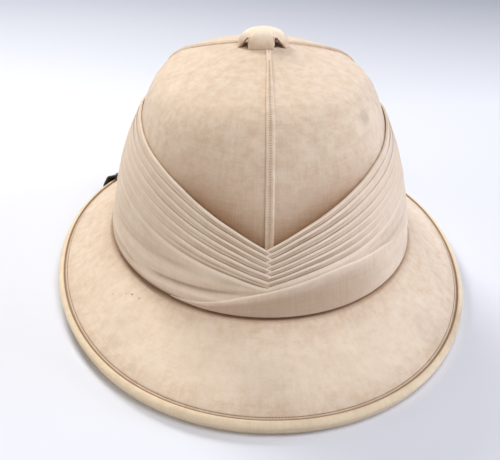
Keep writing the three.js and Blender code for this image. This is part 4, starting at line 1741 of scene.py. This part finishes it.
class HELMET_OT_studio(bpy.types.Operator):
    """Studio: pale floor, soft lights and the camera"""

    bl_idname = "helmet.studio"
    bl_label = "Studio"

    def execute(self, context):
        self.floor()
        self.lights()
        self.camera()
        context.scene.view_settings.view_transform = "Standard"
        return {"FINISHED"}

    def floor(self):
        """Wide floor, painted darker behind the helmet as painted shade of the light falling off.
        """
        start_clean()
        bpy.ops.mesh.primitive_plane_add(size=8.0, location=(0, 0, 0))
        floor = bpy.context.object
        floor.name = "studio_floor"
        material, tree, shader = blank_material("studio_floor")
        where = add_node(tree, "ShaderNodeTexCoord", (0, 0)).outputs["Object"]
        split = laid_node(tree, "ShaderNodeSeparateXYZ", (200, 0), where)
        # Painted shade: the floor darkens from 0.3 to 0.75 metres behind the helmet
        painted_falloff_shade = spread(tree, (400, 0), split.outputs[1], From_Min=0.3, From_Max=0.75)
        colour = blend_colours(tree, (700, 0), painted_falloff_shade, FLOOR_NEAR_COLOUR, FLOOR_FAR_COLOUR)
        tree.links.new(colour, shader.inputs["Base Color"])
        shader.inputs["Roughness"].default_value = 0.6
        shader.inputs["Specular IOR Level"].default_value = 0.2
        floor.data.materials.append(material)

    def lights(self):
        """Soft square lights aimed at the helmet, and a faint cool air."""
        for name, place, size, power, colour in LIGHTS:
            light = bpy.data.lights.new(name, "AREA")
            light.shape = "SQUARE"
            light.size = size
            light.energy = power
            light.color = colour
            holder = bpy.data.objects.new(name, light)
            bpy.context.scene.collection.objects.link(holder)
            holder.location = place
            aim = Vector(LIGHT_AIM) - Vector(place)
            holder.rotation_euler = aim.to_track_quat("-Z", "Y").to_euler()
        world = bpy.data.worlds.new("studio_air")
        world.use_nodes = True
        air = world.node_tree.nodes["Background"]
        air.inputs[0].default_value = (0.82, 0.86, 0.95, 1)
        air.inputs[1].default_value = 0.18
        bpy.context.scene.world = world

    def camera(self):
        """Camera at the photographed angle, with the frame shifted down a little."""
        yaw_sine, yaw_cosine = math.sin(CAMERA_YAW), math.cos(CAMERA_YAW)
        tilt_sine, tilt_cosine = math.sin(CAMERA_TILT), math.cos(CAMERA_TILT)
        right = Vector((yaw_cosine, -yaw_sine, 0))
        up = Vector((yaw_sine * tilt_sine, yaw_cosine * tilt_sine, tilt_cosine))
        forward = Vector((yaw_sine * tilt_cosine, yaw_cosine * tilt_cosine, -tilt_sine))
        turned_right = right * math.cos(CAMERA_ROLL) + up * math.sin(CAMERA_ROLL)
        turned_up = up * math.cos(CAMERA_ROLL) - right * math.sin(CAMERA_ROLL)
        aim = (CAMERA_AIM_SIDE * yaw_cosine, -CAMERA_AIM_SIDE * yaw_sine, CAMERA_AIM_HEIGHT)
        place = Vector(aim) - forward * CAMERA_DISTANCE
        data = bpy.data.cameras.new("photo_camera")
        data.sensor_width = 36.0
        data.lens = CAMERA_FOCAL_SHARE * data.sensor_width
        data.sensor_fit = "HORIZONTAL"
        data.shift_y = CAMERA_SHIFT
        data.clip_start = 0.01
        camera = bpy.data.objects.new("photo_camera", data)
        turn = Matrix((turned_right, turned_up, -forward)).transposed()
        camera.matrix_world = Matrix.Translation(place) @ turn.to_4x4()
        bpy.context.scene.collection.objects.link(camera)
        bpy.context.scene.camera = camera


class HELMET_PT_pieces(bpy.types.Panel):
    """Lists the helmet's sizes and the steps that build it"""

    bl_idname = "HELMET_PT_pieces"
    bl_label = "Pith helmet"
    bl_space_type = "VIEW_3D"
    bl_region_type = "UI"
    bl_category = "Helmet"

    def draw(self, context):
        sizes = context.scene.helmet
        for name in HELMET_PG_sizes.__annotations__:
            self.layout.prop(sizes, name)
        for step in STEPS:
            self.layout.operator("helmet." + step)


STEPS = (
    "studio",
    "crown",
    "brim",
    "rim_binding",
    "cover_seams",
    "wrap",
    "ventilator",
    "chin_strap",
)

CLASSES = (
    HELMET_PG_sizes,
    HELMET_OT_studio,
    HELMET_OT_crown,
    HELMET_OT_brim,
    HELMET_OT_rim_binding,
    HELMET_OT_cover_seams,
    HELMET_OT_wrap,
    HELMET_OT_ventilator,
    HELMET_OT_chin_strap,
    HELMET_PT_pieces,
)


def register():
    for item in CLASSES:
        bpy.utils.register_class(item)
    bpy.types.Scene.helmet = bpy.props.PointerProperty(type=HELMET_PG_sizes)


def unregister():
    del bpy.types.Scene.helmet
    for item in reversed(CLASSES):
        bpy.utils.unregister_class(item)


def main():
    register()
    for step in STEPS:
        getattr(bpy.ops.helmet, step)()
    start_clean()


if __name__ == "__main__":
    main()
